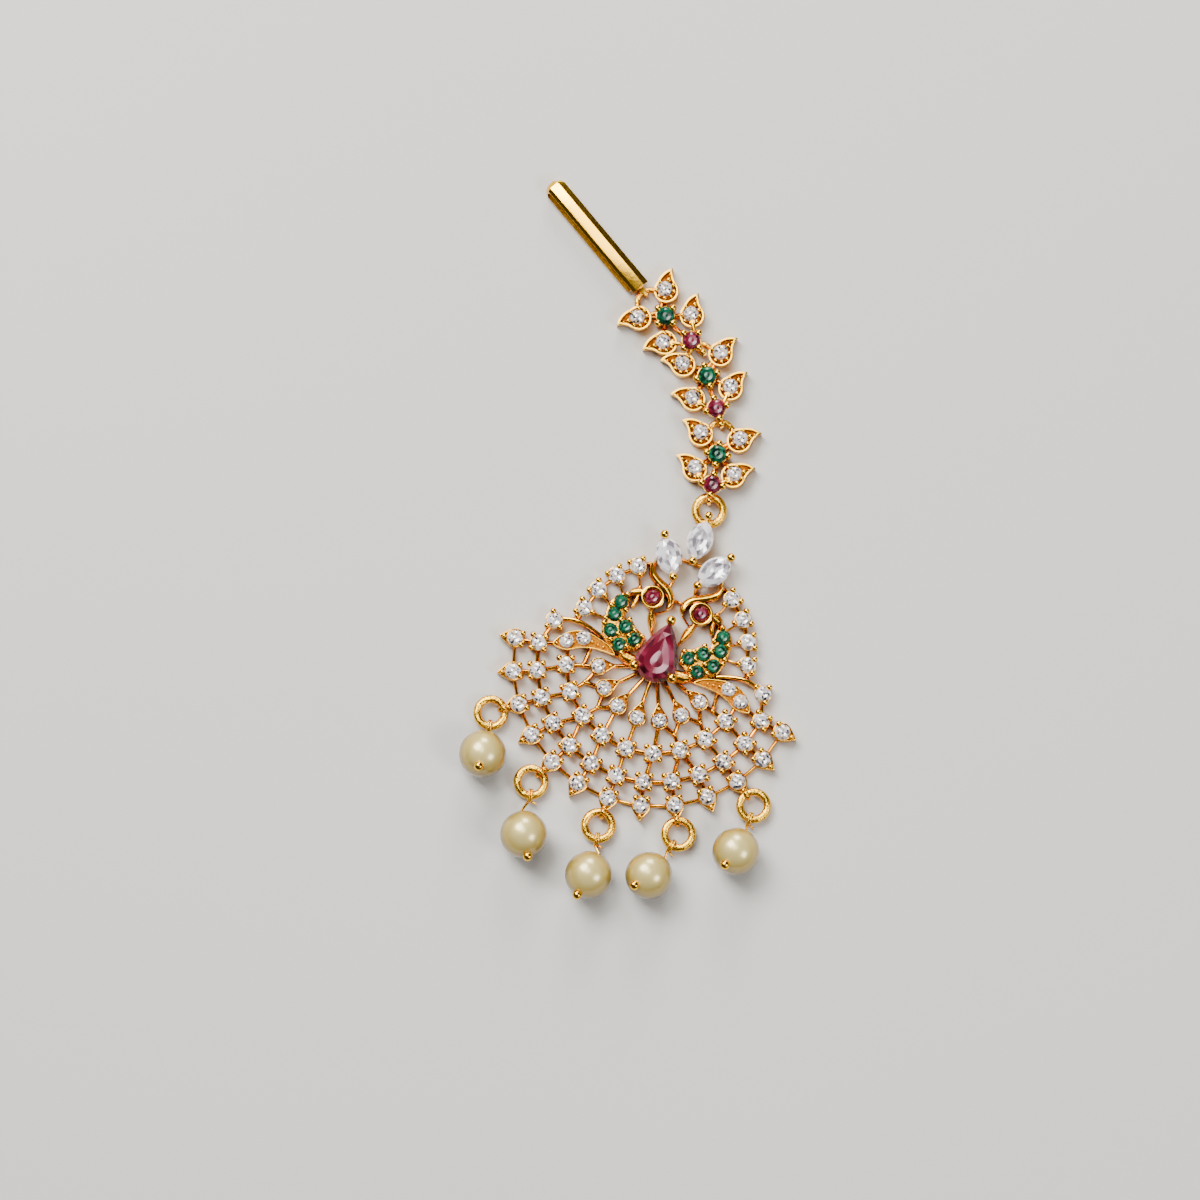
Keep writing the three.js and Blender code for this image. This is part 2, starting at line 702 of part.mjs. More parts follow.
// Ties between the marquise settings and the heads, under the stones
function marquiseTies(flip) {
  const outer = { x: flip * 4.1, y: 12.2 };
  return [
    bar({ x: flip * 3.0, y: 12.9 }, { x: 0, y: 12.9 }, 0.45, 0, tieThick),
    bar(outer, { x: flip * 4.2, y: 10.8 }, 0.5, 0, marquiseCollar.foot + 0.1),
    bar(outer, { x: flip * 2.8, y: 12.6 }, 0.45, 0, tieThick),
  ];
}

// Everything of the pendant that is soldered together, with its white stones
function fanFrame() {
  const shapes = [...net(), ...outerCups(), ...petalRing(), ...pearSetting()];
  for (const { flip } of sides) {
    shapes.push(...wideLeaves(flip), ...haloArc(flip), ...bird(flip), ...wing(flip), ...marquiseTies(flip));
  }
  for (const place of marquises) {
    shapes.push(...marquiseSetting(place, place.name === 'marquise_top' ? ringPost : marquiseTip));
  }
  const wells = sides.flatMap(({ flip }) => [
    ...greenStones.map((stone) => well(flipped(stone, flip), greenRadius, wingHeight, -1)),
    well(flipped(eyeBezel, flip), eyeStoneRadius, eyeBezel.seat, -1),
  ]);
  return geometryOf(joined(shapes).subtract(joined(wells)));
}

// One leaf of a link: a cup with a raised rim round a white stone
function leaf(flip, y) {
  const place = { x: flip * leafStone.side, y };
  const levels = [[0.94, 0], [1, leafRim], [leafRimShare, leafRim], [leafRimShare, leafFloor]];
  return [
    placed(lofted(leafOutline(flip), levels), place),
    crownOn(place, leafStoneRadius, leafFloor),
    bar({ x: place.x * 0.3, y: y * 0.3 }, place, linkBarWidth, 0, linkBarThick),
  ];
}

// Room under a link's lower stone for the wire that it hangs on
const linkClear = eyeTop(mainRing.wire) - eyeWall;

// Cup of one link stone, the well still to be cut, with four beads
function linkCup(y, bottom) {
  const rim = linkStoneRadius + linkCupWall;
  const reach = linkStoneRadius + linkProng * 0.8;
  const corners = [[reach, 0], [-reach, 0], [0, reach], [0, -reach]].map(([x, up]) => ({ x, y: y + up }));
  return [
    placed(post(rim, bottom, linkCupTop, facets), { x: 0, y }),
    ...corners.map((corner) => bar({ x: 0, y }, corner, linkProngWidth, bottom, linkCupTop + 0.1)),
    ...corners.map((corner) => bead(corner, linkCupTop + 0.15, linkProng)),
  ];
}

// One link: four leaves, two cups, the hoop above and the eye below
function linkMetal({ drop }) {
  const rim = linkStoneRadius + linkCupWall;
  const shapes = [
    ...linkCup(0, 0),
    ...linkCup(-drop, linkClear),
    flatRing(hoop).translate(0, hoop.beyond, 0),
    uprightEye(-drop - linkEyeReach, -rim, mainRing.wire),
    bead({ x: 0, y: -drop - linkEyeReach + 0.1 }, eyeTop(mainRing.wire), prongBead),
  ];
  for (const { flip } of sides) {
    shapes.push(...leaf(flip, leafStone.upper), ...leaf(flip, -leafStone.lower));
    const foot = { x: flip * 1.75, y: -leafStone.lower - 0.9 };
    shapes.push(bar(foot, { x: flip * 0.95, y: -drop + 0.35 }, 0.55, linkClear, linkCupTop - 0.15));
    shapes.push(placed(post(0.35, leafFloor / 2, linkCupTop - 0.15), foot));
  }
  const wells = [
    well({ x: 0, y: 0 }, linkStoneRadius, linkCupTop, -1),
    well({ x: 0, y: -drop }, linkStoneRadius, linkCupTop, linkClear - 0.3),
  ];
  return geometryOf(joined(shapes).subtract(joined(wells)));
}

// Middle line of the hook from its eye over the front arm, round the fold and back
function hookLine() {
  const low = hook.thick / 2;
  const high = low + hook.thick + hook.slot;
  const bend = (high - low) / 2;
  const fold = hook.length - bend - low;
  const line = [new THREE.Vector3(0, hookArms.front, high)];
  for (let i = 0; i <= 6; i++) {
    const angle = (i * Math.PI) / 6;
    const share = i / 6;
    line.push(new THREE.Vector3(
      hookArms.skew * share,
      fold + bend * Math.sin(angle),
      low + bend + bend * Math.cos(angle),
    ));
  }
  line.push(new THREE.Vector3(hookArms.skew, hookArms.free, low));
  return line;
}

// Hook: the creased section carried along its line, and the upright eye at its lower end
function hookMetal() {
  const line = hookLine();
  const count = hookSection.length;
  const rings = line.map((corner, i) => {
    const before = line[Math.max(i - 1, 0)];
    const after = line[Math.min(i + 1, line.length - 1)];
    const way = new THREE.Vector3(0, after.y - before.y, after.z - before.z).normalize();
    return hookSection.map(({ across, up }) => {
      const rise = (up - 0.5) * hook.thick;
      return [corner.x + across * hook.width, corner.y - way.z * rise, corner.z + way.y * rise];
    });
  });
  const last = (line.length - 1) * count;
  const faces = [];
  for (let ring = 0; ring < last; ring += count) {
    for (let i = 0; i < count; i++) {
      const a = ring + i;
      const b = ring + ((i + 1) % count);
      faces.push(a, b + count, b, a, a + count, b + count);
    }
  }
  for (let i = 1; i < count - 1; i++) faces.push(0, i, i + 1, last, last + i + 1, last + i);
  const arms = new THREE.BufferGeometry();
  arms.setAttribute('position', new THREE.Float32BufferAttribute(rings.flat(2), 3));
  arms.setIndex(faces);
  const wall = hoop.wire + linkGap;
  const neck = bar({ x: 0, y: wall }, { x: 0, y: wall + 0.5 }, eyeDepth * 1.5, 0.9, hook.thick * 1.5 + hook.slot);
  return geometryOf(joined([arms, snugEye(hoop.wire), neck]));
}

// Round rod between two points
function rod(from, to, radius) {
  const way = to.clone().sub(from);
  const middle = from.clone().add(to).multiplyScalar(0.5);
  const turn = new THREE.Quaternion().setFromUnitVectors(new THREE.Vector3(0, 1, 0), way.clone().normalize());
  const geometry = new THREE.CylinderGeometry(radius, radius, way.length(), pinSides);
  return geometry.applyQuaternion(turn).translate(middle.x, middle.y, middle.z);
}

// Where one drop's ring, pearl and pin lie in the pendant's frame
function dropPlaces({ stone, x, y, bearing, slope }) {
  const ring = polar(outerRadius + ringReach, stone * outerRow.step);
  const pearlCentre = new THREE.Vector3(ring.x + x, ring.y + y, pearlRadius);
  const flat = polar(Math.cos(radians(slope)), bearing);
  const axis = new THREE.Vector3(flat.x, flat.y, Math.sin(radians(slope)));
  const toPearl = new THREE.Vector3(x, y, 0).normalize();
  const wireCentre = toPearl.clone().multiplyScalar(dropRing.radius)
    .add(new THREE.Vector3(ring.x, ring.y, wireHeight(dropRing.wire)));
  return { ring, pearlCentre, axis, toPearl, wireCentre };
}

// Pearl with a hole along its pin
function drilledPearl({ pearlCentre, axis }) {
  const hole = pinRadius + drillGap;
  const open = Math.asin(hole / pearlRadius);
  const profile = [];
  for (let i = 0; i <= pearlSides / 2; i++) {
    const angle = open + (i * (Math.PI - 2 * open)) / (pearlSides / 2);
    profile.push([pearlRadius * Math.sin(angle), -pearlRadius * Math.cos(angle)]);
  }
  profile.push(profile[0]);
  const turn = new THREE.Quaternion().setFromUnitVectors(new THREE.Vector3(0, 0, 1), axis);
  const { x, y, z } = pearlCentre;
  return turned(profile, pearlSides).applyQuaternion(turn).translate(x, y, z);
}

// Head pin: ball, straight wire through the pearl, then a loop closed round the ring's wire
function headPin({ pearlCentre, axis, toPearl, wireCentre }) {
  const head = pearlCentre.clone().addScaledVector(axis, pearlRadius + pinBall * 0.85);
  const exit = pearlCentre.clone().addScaledVector(axis, -pearlRadius - 0.3);
  exit.z = Math.max(exit.z, pinRadius * 1.5);
  const loopRadius = dropRing.wire + linkGap + pinRadius;
  const shoulder = wireCentre.clone().addScaledVector(toPearl, loopRadius);
  const loop = new THREE.TorusGeometry(loopRadius, pinRadius, pinSides, 10)
    .rotateX(Math.PI / 2)
    .rotateZ(Math.atan2(toPearl.y, toPearl.x))
    .translate(wireCentre.x, wireCentre.y, wireCentre.z);
  return geometryOf(joined([
    ball(head, head.z, pinBall),
    rod(head, exit, pinRadius),
    bead(exit, exit.z, pinRadius * 1.3),
    rod(exit, shoulder, pinRadius),
    loop,
  ]));
}

const part = new THREE.Group();

function addPiece(name, geometry, look, frame) {
  const mesh = new THREE.Mesh(geometry, new THREE.MeshStandardMaterial(look));
  mesh.name = name;
  mesh.position.set(frame.x, frame.y, 0);
  mesh.rotation.z = radians(frame.turn);
  part.add(mesh);
}

// Frame of a stone or ring that keeps the turn of the frame it is seen from
const within = (frame, place) => ({ ...outOf(frame, place), turn: frame.turn + (place.turn ?? 0) });

// Pendant
const pendant = { x: 0, y: 0, turn: pendantTurn };
addPiece('fan_frame', fanFrame(), gold, pendant);
const pearStone = cutStone(pearOutline(), pearCut, pearCollar.height + pearCollar.lift);
addPiece('pear_ruby', pearStone, ruby, pendant);
for (const place of marquises) {
  addPiece(place.name, cutStone(marquiseOutline(), marquiseCut, marquiseGirdle), zirconia, within(pendant, place));
}
for (const { name, flip } of sides) {
  const eye = within(pendant, { ...flipped(eyeBezel, flip), turn: 0 });
  addPiece(`eye_ruby_${name}`, roundStone(eyeStoneRadius, eyeBezel.seat), ruby, eye);
  greenStones.forEach((stone, i) => {
    const place = within(pendant, flipped(stone, flip));
    addPiece(`wing_green_${name}_${i + 1}`, roundStone(greenRadius, wingHeight), emerald, place);
  });
}

// Drops
drops.forEach((drop, i) => {
  const places = dropPlaces(drop);
  addPiece(`drop_ring_${i + 1}`, flatRing(dropRing), gold, within(pendant, places.ring));
  addPiece(`pearl_${i + 1}`, drilledPearl(places), pearl, pendant);
  addPiece(`head_pin_${i + 1}`, headPin(places), gold, pendant);
});

// Main ring, links and hook, each hung on the loop below it
const ringFrame = within(pendant, { x: 0, y: topMarquise.y + pendantEye });
let loop = { ...outOf({ ...ringFrame, turn: mainRing.bearing }, { x: 0, y: mainRing.radius }), ...mainRing };
addPiece('main_ring', flatRing(mainRing), gold, { ...loop, turn: mainRing.bearing });
for (const link of links) {
  const contact = outOf({ ...loop, turn: link.bearing }, { x: 0, y: loop.radius });
  const frame = { ...outOf({ ...contact, turn: link.turn }, { x: 0, y: link.seat + link.drop }), turn: link.turn };
  addPiece(link.name, linkMetal(link), gold, frame);
  addPiece(`${link.name}_green`, roundStone(linkStoneRadius, linkCupTop), emerald, frame);
  const lower = within(frame, { x: 0, y: -link.drop });
  addPiece(`${link.name}_ruby`, roundStone(linkStoneRadius, linkCupTop), ruby, lower);
  loop = { ...outOf(frame, { x: 0, y: hoop.beyond }), ...hoop };
}
const hookAt = outOf({ ...loop, turn: hook.bearing }, { x: 0, y: loop.radius });
addPiece('hook', hookMetal(), gold, { ...hookAt, turn: hook.turn });

// The footprint's middle goes to the origin and the lowest point to the surface
const box = new THREE.Box3().setFromObject(part, true);
const middle = box.getCenter(new THREE.Vector3());
for (const mesh of part.children) mesh.position.sub(new THREE.Vector3(middle.x, middle.y, box.min.z));

export default part;
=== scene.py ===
import math
import bpy
from mathutils import Matrix, Vector


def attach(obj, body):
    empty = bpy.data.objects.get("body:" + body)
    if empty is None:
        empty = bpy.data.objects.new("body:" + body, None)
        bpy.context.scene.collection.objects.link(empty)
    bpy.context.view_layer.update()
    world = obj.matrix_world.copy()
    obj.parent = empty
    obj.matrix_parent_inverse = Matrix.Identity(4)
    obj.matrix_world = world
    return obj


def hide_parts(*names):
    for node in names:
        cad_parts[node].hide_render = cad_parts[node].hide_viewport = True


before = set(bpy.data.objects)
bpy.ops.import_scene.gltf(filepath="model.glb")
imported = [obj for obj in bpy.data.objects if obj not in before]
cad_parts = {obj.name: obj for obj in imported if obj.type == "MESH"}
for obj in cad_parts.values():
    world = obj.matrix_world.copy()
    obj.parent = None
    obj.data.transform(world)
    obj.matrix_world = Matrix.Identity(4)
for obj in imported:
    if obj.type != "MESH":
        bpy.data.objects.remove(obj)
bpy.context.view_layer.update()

toMetres = Matrix.Scale(0.001, 4)  # shapes are drawn in millimetres and placed in metres
scratchShapes = []  # drawn once, stamped many times, thrown away at the end


def hexColour(text):
    parts = [int(text[i:i + 2], 16) / 255 for i in (1, 3, 5)]
    return [c / 12.92 if c <= 0.04045 else ((c + 0.055) / 1.055) ** 2.4 for c in parts] + [1]


def addNode(mat, kind, settings=None, links=None):
    node = mat.node_tree.nodes.new(kind)
    for key, value in (settings or {}).items():
        if isinstance(key, int) or key in node.inputs:
            node.inputs[key].default_value = value
        else:
            setattr(node, key, value)
    for key, source in (links or {}).items():
        mat.node_tree.links.new(source, node.inputs[key])
    return node


def setRamp(ramp, stops):
    points = ramp.color_ramp.elements
    while len(points) < len(stops):
        points.new(0.5)
    for point, (place, colour) in zip(points, stops):
        point.position = place
        point.color = hexColour(colour)


def startMaterial(name):
    mat = bpy.data.materials.new(name)
    mat.use_nodes = True
    coords = addNode(mat, "ShaderNodeTexCoord").outputs["Object"]
    return mat, mat.node_tree.nodes["Principled BSDF"], coords


# all the gold has painted shade: darker towards the foot of the casting and in its nooks, through an ambient-occlusion
# node, with clouds about 2 mm wide
goldShadeAndTone = {
    "top": 0.0017, "paintedFootShadeShare": 0.52, "paintedNookShadeReach": 0.0008, "paintedNookShadeSamples": 6,
    "cloudScale": 420, "cloudShare": 0.25, "polishScale": 1500, "stops": (0.25, 0.62, 1.0),
}


def makeGold(name, colours, rough, grain, relief):
    mat, shader, coords = startMaterial(name)
    height = addNode(mat, "ShaderNodeSeparateXYZ", links={0: coords}).outputs["Z"]
    # painted shade by height: the gold is darker towards the foot of the casting
    share = addNode(mat, "ShaderNodeMapRange",
                    {"From Min": 0.0, "From Max": goldShadeAndTone["top"], "To Min": goldShadeAndTone["paintedFootShadeShare"]}, {"Value": height})
    # painted shade in the nooks, from an ambient-occlusion node on this piece alone
    paintedNookShade = addNode(mat, "ShaderNodeAmbientOcclusion",
                   {"samples": goldShadeAndTone["paintedNookShadeSamples"], "only_local": True, "Distance": goldShadeAndTone["paintedNookShadeReach"]})
    paintedShade = addNode(mat, "ShaderNodeMath", {"operation": "MULTIPLY"}, {0: paintedNookShade.outputs["AO"], 1: share.outputs[0]})
    cloud = addNode(mat, "ShaderNodeTexNoise", {"Scale": goldShadeAndTone["cloudScale"], "Detail": 3}, {"Vector": coords})
    mixed = addNode(mat, "ShaderNodeMath", {"operation": "MULTIPLY_ADD", 1: goldShadeAndTone["cloudShare"]},
                    {0: cloud.outputs["Fac"], 2: paintedShade.outputs[0]})
    ramp = addNode(mat, "ShaderNodeValToRGB", links={0: mixed.outputs[0]})
    setRamp(ramp, list(zip(goldShadeAndTone["stops"], colours)))
    polish = addNode(mat, "ShaderNodeTexNoise", {"Scale": goldShadeAndTone["polishScale"], "Detail": 4}, {"Vector": coords})
    sheen = addNode(mat, "ShaderNodeMapRange", {"To Min": rough[0], "To Max": rough[1]},
                    {"Value": polish.outputs["Fac"]})
    skin = addNode(mat, "ShaderNodeTexNoise", {"Scale": grain, "Detail": 5, "Roughness": 0.6}, {"Vector": coords})
    bump = addNode(mat, "ShaderNodeBump", {"Strength": 1.0, "Distance": relief}, {"Height": skin.outputs["Fac"]})
    shader.inputs["Metallic"].default_value = 1.0
    for socket, source in (("Base Color", ramp), ("Roughness", sheen), ("Normal", bump)):
        mat.node_tree.links.new(source.outputs[0], shader.inputs[socket])
    return mat


def makeGem(name, stops, ior, roughness, metallic, contrast):
    # each facet gets its own painted reflection from the way it faces, and each stone a slightly different set
    mat, shader, coords = startMaterial(name)
    # painted reflections: a noise read by the facet's direction picks each facet's shade
    facing = addNode(mat, "ShaderNodeNewGeometry").outputs["True Normal"]
    turned = addNode(mat, "ShaderNodeVectorMath", {"operation": "SCALE", "Scale": contrast}, {0: facing})
    spot = addNode(mat, "ShaderNodeVectorMath", {"operation": "SCALE", "Scale": 260}, {0: coords})
    both = addNode(mat, "ShaderNodeVectorMath", {"operation": "ADD"}, {0: turned.outputs[0], 1: spot.outputs[0]})
    cut = addNode(mat, "ShaderNodeTexNoise", {"Scale": 1.0, "Detail": 0.0}, {"Vector": both.outputs[0]})
    ramp = addNode(mat, "ShaderNodeValToRGB", links={0: cut.outputs["Fac"]})
    setRamp(ramp, stops)
    mat.node_tree.links.new(ramp.outputs[0], shader.inputs["Base Color"])
    shader.inputs["Roughness"].default_value = roughness
    shader.inputs["IOR"].default_value = ior
    shader.inputs["Metallic"].default_value = metallic
    return mat


# the pearl's painted shade runs by height from low to high; the clouds are its own tone
pearlShadeAndTone = {
    "low": 0.0024, "high": 0.0056, "cloudScale": 260, "cloudShare": 0.14, "skinScale": 2600, "relief": 0.00001,
    "stops": [(0.1, "#6B5518"), (0.4, "#8A7024"), (0.62, "#A88B34"), (0.82, "#C8AE58"), (1.0, "#DCC87E")],
}


def makePearl(name):
    mat, shader, coords = startMaterial(name)
    # painted shade by height: the pearl turns olive and darker towards the bottom
    height = addNode(mat, "ShaderNodeSeparateXYZ", links={0: coords}).outputs["Z"]
    share = addNode(mat, "ShaderNodeMapRange", {"From Min": pearlShadeAndTone["low"], "From Max": pearlShadeAndTone["high"]},
                    {"Value": height})
    cloud = addNode(mat, "ShaderNodeTexNoise", {"Scale": pearlShadeAndTone["cloudScale"], "Detail": 2}, {"Vector": coords})
    pearlShadeAndCloud = addNode(mat, "ShaderNodeMath", {"operation": "MULTIPLY_ADD", 1: pearlShadeAndTone["cloudShare"]},
                   {0: cloud.outputs["Fac"], 2: share.outputs[0]})
    ramp = addNode(mat, "ShaderNodeValToRGB", links={0: pearlShadeAndCloud.outputs[0]})
    setRamp(ramp, pearlShadeAndTone["stops"])
    skin = addNode(mat, "ShaderNodeTexNoise", {"Scale": pearlShadeAndTone["skinScale"], "Detail": 3}, {"Vector": coords})
    bump = addNode(mat, "ShaderNodeBump", {"Strength": 0.25, "Distance": pearlShadeAndTone["relief"]},
                   {"Height": skin.outputs["Fac"]})
    mat.node_tree.links.new(ramp.outputs[0], shader.inputs["Base Color"])
    mat.node_tree.links.new(bump.outputs[0], shader.inputs["Normal"])
    shader.inputs["Roughness"].default_value = 0.34
    shader.inputs["Metallic"].default_value = 0.3
    shader.inputs["Coat Weight"].default_value = 1.0
    shader.inputs["Coat Roughness"].default_value = 0.14
    return mat


# polished plating over cast brass: painted shade keeps the tops bright and turns the metal deep orange where the walls
# would mirror each other
polishedGold = makeGold("polishedGoldPlate", ("#8A3A04", "#DE860A", "#FBC02E"), (0.1, 0.22), 2600, 0.000006)
# the same plating over a stippled casting: a soft sparkle of grains about 0.4 mm apart
stippledGold = makeGold("stippledGoldPlate", ("#7E3403", "#D27D08", "#F7B926"), (0.12, 0.24), 2400, 0.00007)
# unpolished floor of the stone cups: dull and rough, its deeper orange a painted shade, and it hardly mirrors the sky
shadedRecessGold = makeGold("cupFloorShadedGoldPlate", ("#5E2002", "#B25A06", "#D98A18"), (0.3, 0.45), 4200, 0.00025)
# hammered ring wire: the shine breaks up along the wire
wireGold = makeGold("ringWireGold", ("#8E3F05", "#E28C0D", "#FCC436"), (0.12, 0.26), 1300, 0.00016)
# cubic zirconia: painted reflections, white flashes beside grey and nearly black facets, a few warm as a painted
# reflection of the gold beside them
whiteStone = makeGem(
    "cubicZirconia", [(0.28, "#232226"), (0.4, "#77727A"), (0.46, "#DAD4DA"), (0.58, "#FFFDFF"), (0.7, "#E9C48E")],
    ior=2.15, roughness=0.05, metallic=0.2, contrast=7)
# the long stones are cut with fewer, quieter facets, their painted reflections softer
clearStone = makeGem(
    "marquiseZirconia", [(0.3, "#7F7981"), (0.42, "#C4BCC3"), (0.5, "#F3EDF0"), (0.64, "#FFFFFF")],
    ior=2.15, roughness=0.06, metallic=0.15, contrast=4)
# red glass stone: painted reflections, mauve where the table would mirror the sky, blood red in the lower facets
redStone = makeGem(
    "rubyGlass", [(0.28, "#2A010B"), (0.45, "#58081F"), (0.58, "#700D28"), (0.74, "#8E3A52")],
    ior=1.76, roughness=0.16, metallic=0.1, contrast=4)
# green glass stone: deep bottle green with a few painted highlights on its facets
greenStone = makeGem(
    "emeraldGlass", [(0.28, "#01150D"), (0.46, "#033A26"), (0.6, "#075A3D"), (0.75, "#1F7452")],
    ior=1.58, roughness=0.16, metallic=0.1, contrast=4)
# lacquered faux pearl: creamy, with a soft window of light from its coat and an olive-gold rim that is painted shade,
# darker towards the bottom
pearlCoat = makePearl("fauxPearlLacquer")
print("materials made")


def deselectAll():
    if bpy.context.object and bpy.context.object.mode != "OBJECT":
        bpy.ops.object.mode_set(mode="OBJECT")
    bpy.ops.object.select_all(action="DESELECT")


def keepShape(obj, name, *mats):
    obj.name = name
    for mat in mats:
        obj.data.materials.append(mat)
    scratchShapes.append(obj)
    return obj


def bevelShape(obj, width, segments=2, angle=30):
    deselectAll()
    obj.select_set(True)
    bpy.context.view_layer.objects.active = obj
    bevel = obj.modifiers.new("soft edges", "BEVEL")
    bevel.width, bevel.segments = width, segments
    bevel.limit_method, bevel.angle_limit = "ANGLE", math.radians(angle)
    bpy.ops.object.modifier_apply(modifier=bevel.name)


def drawRod(name, mat, edge):
    deselectAll()
    bpy.ops.mesh.primitive_cylinder_add(vertices=12, radius=0.5, depth=1, rotation=(0, math.pi / 2, 0))
    bpy.ops.object.transform_apply(location=True, rotation=True, scale=True)
    bar = bpy.context.object
    bevelShape(bar, edge, 2, 50)
    return keepShape(bar, name, mat)


def drawPost(name, mat, taper):
    deselectAll()
    bpy.ops.mesh.primitive_cone_add(vertices=12, radius1=1, radius2=taper, depth=1, location=(0, 0, 0.5))
    bpy.ops.object.transform_apply(location=True, rotation=True, scale=True)
    return keepShape(bpy.context.object, name, mat)


def drawBead(name, mat, flat, rounds):
    deselectAll()
    bpy.ops.mesh.primitive_ico_sphere_add(subdivisions=rounds, radius=1)
    ball = bpy.context.object
    bpy.ops.object.mode_set(mode="EDIT")
    bpy.ops.mesh.select_all(action="SELECT")
    bpy.ops.transform.resize(value=(1, 1, flat))
    bpy.ops.object.mode_set(mode="OBJECT")
    return keepShape(ball, name, mat)


def drawTorus(name, mat, radius, wire, steps=48, around=14):
    deselectAll()
    bpy.ops.mesh.primitive_torus_add(
        major_radius=radius, minor_radius=wire, major_segments=steps, minor_segments=around)
    return keepShape(bpy.context.object, name, mat)


def sinkTop(obj, height, wall, sunk):
    bpy.ops.object.mode_set(mode="EDIT")
    bpy.ops.mesh.select_all(action="DESELECT")
    bpy.ops.mesh.select_mode(type="FACE")
    bpy.ops.object.mode_set(mode="OBJECT")
    for face in obj.data.polygons:
        face.select = face.normal.z > 0.9 and face.center.z > height - 0.001
    bpy.ops.object.mode_set(mode="EDIT")
    bpy.ops.mesh.inset(thickness=wall, use_even_offset=True)
    bpy.ops.mesh.extrude_region_move(TRANSFORM_OT_translate={"value": (0, 0, -sunk)})
    bpy.ops.object.mode_set(mode="OBJECT")
    for face in obj.data.polygons:
        face.material_index = int(face.select)  # the sunk floor takes the shape's second material, the gold with painted recess shade


def drawCup(name, mat, foot, rim, height, wall, sunk, soft, sides=24):
    deselectAll()
    bpy.ops.mesh.primitive_cone_add(
        vertices=sides, radius1=foot, radius2=rim, depth=height, location=(0, 0, height / 2))
    bpy.ops.object.transform_apply(location=True, rotation=True, scale=True)
    cup = bpy.context.object
    sinkTop(cup, height, wall, sunk)
    bevelShape(cup, soft)
    return keepShape(cup, name, mat, shadedRecessGold)


def drawPlate(name, mat, outline, top, soft, bottom=0, wall=0, sunk=0):
    deselectAll()
    bpy.ops.mesh.primitive_circle_add(vertices=len(outline), radius=1, fill_type="NGON")
    plate = bpy.context.object
    for vertex, (x, y) in zip(plate.data.vertices, outline):
        vertex.co = (x, y, bottom)
    bpy.ops.object.mode_set(mode="EDIT")
    bpy.ops.mesh.select_all(action="SELECT")
    bpy.ops.mesh.extrude_region_move(TRANSFORM_OT_translate={"value": (0, 0, top - bottom)})
    bpy.ops.mesh.select_all(action="SELECT")
    bpy.ops.mesh.normals_make_consistent(inside=False)
    bpy.ops.object.mode_set(mode="OBJECT")
    if sunk:
        sinkTop(plate, top, wall, sunk)
    bevelShape(plate, soft, 3)
    return keepShape(plate, name, mat, shadedRecessGold)


# how any stone is cut: shares of its depth above and below, and of its width at each waist
gemCut = {"near": 0.55, "far": 0.45, "pavilionWaist": 0.55, "culet": 0.08, "crownWaist": 0.84, "star": 0.5, "poke": 0.6}


def drawGem(name, mat, sides, crown, girdle, pavilion, table, depth):
    deselectAll()
    bpy.ops.mesh.primitive_cylinder_add(vertices=sides, radius=1, depth=girdle, location=(0, 0, girdle / 2))
    bpy.ops.object.transform_apply(location=True, rotation=True, scale=True)
    gem = bpy.context.object
    star = crown * depth  # the lower facets that show through the table are cut into it as a shallow star
    steps = [
        (-1, -pavilion * gemCut["near"], gemCut["pavilionWaist"]),
        (-1, -pavilion * gemCut["far"], gemCut["culet"]),
        (1, crown * gemCut["near"], gemCut["crownWaist"]),
        (1, crown * gemCut["far"], table / gemCut["crownWaist"]),
        (1, -star, gemCut["star"]),
    ]
    levels = {1: girdle, -1: 0}
    for way, rise, share in steps:
        bpy.ops.object.mode_set(mode="EDIT")
        bpy.ops.mesh.select_mode(type="FACE")
        bpy.ops.mesh.select_all(action="DESELECT")
        bpy.ops.object.mode_set(mode="OBJECT")
        for face in gem.data.polygons:
            face.select = abs(face.center.z - levels[way]) < 1e-4 and abs(face.normal.z) > 0.9
        levels[way] += rise
        bpy.ops.object.mode_set(mode="EDIT")
        bpy.ops.mesh.extrude_region_move(TRANSFORM_OT_translate={"value": (0, 0, rise)})
        bpy.ops.transform.resize(value=(share, share, 1), center_override=(0, 0, levels[way]))
        bpy.ops.transform.rotate(value=math.pi / sides, orient_axis="Z", center_override=(0, 0, 0))
        bpy.ops.object.mode_set(mode="OBJECT")
    bpy.ops.object.mode_set(mode="EDIT")
    bpy.ops.mesh.poke(offset=star * gemCut["poke"])
    bpy.ops.mesh.select_all(action="SELECT")
    bpy.ops.mesh.quads_convert_to_tris(quad_method="BEAUTY", ngon_method="BEAUTY")
    bpy.ops.mesh.tris_convert_to_quads(face_threshold=0.01, shape_threshold=3.14)
    bpy.ops.mesh.normals_make_consistent(inside=False)
    bpy.ops.object.mode_set(mode="OBJECT")
    return keepShape(gem, name, mat)


def reachOf(outline, angle):
    # how far an outline reaches at a bearing, read along its edges
    ray = Vector((math.cos(angle), math.sin(angle)))
    best = 0.01
    for (ax, ay), (bx, by) in zip(outline, outline[1:] + outline[:1]):
        edge = Vector((bx - ax, by - ay))
        cross = ray.x * edge.y - ray.y * edge.x
        if abs(cross) < 1e-9:
            continue
        along = (ax * edge.y - ay * edge.x) / cross
        share = (ax * ray.y - ay * ray.x) / cross
        if along > 0 and -1e-6 <= share <= 1 + 1e-6:
            best = max(best, along)
    return best


def reshapeGem(gem, outline):
    # pushes a round gem out to another outline
    for vertex in gem.data.vertices:
        reach = reachOf(outline, math.atan2(vertex.co.y, vertex.co.x))
        vertex.co.x, vertex.co.y = vertex.co.x * reach, vertex.co.y * reach
    return gem


def stamp(shape, matrix):
    copy = bpy.data.objects.new(shape.name, shape.data.copy())
    bpy.context.collection.objects.link(copy)
    copy.data.transform(matrix)
    if matrix.determinant() < 0:
        copy.data.flip_normals()
    return copy


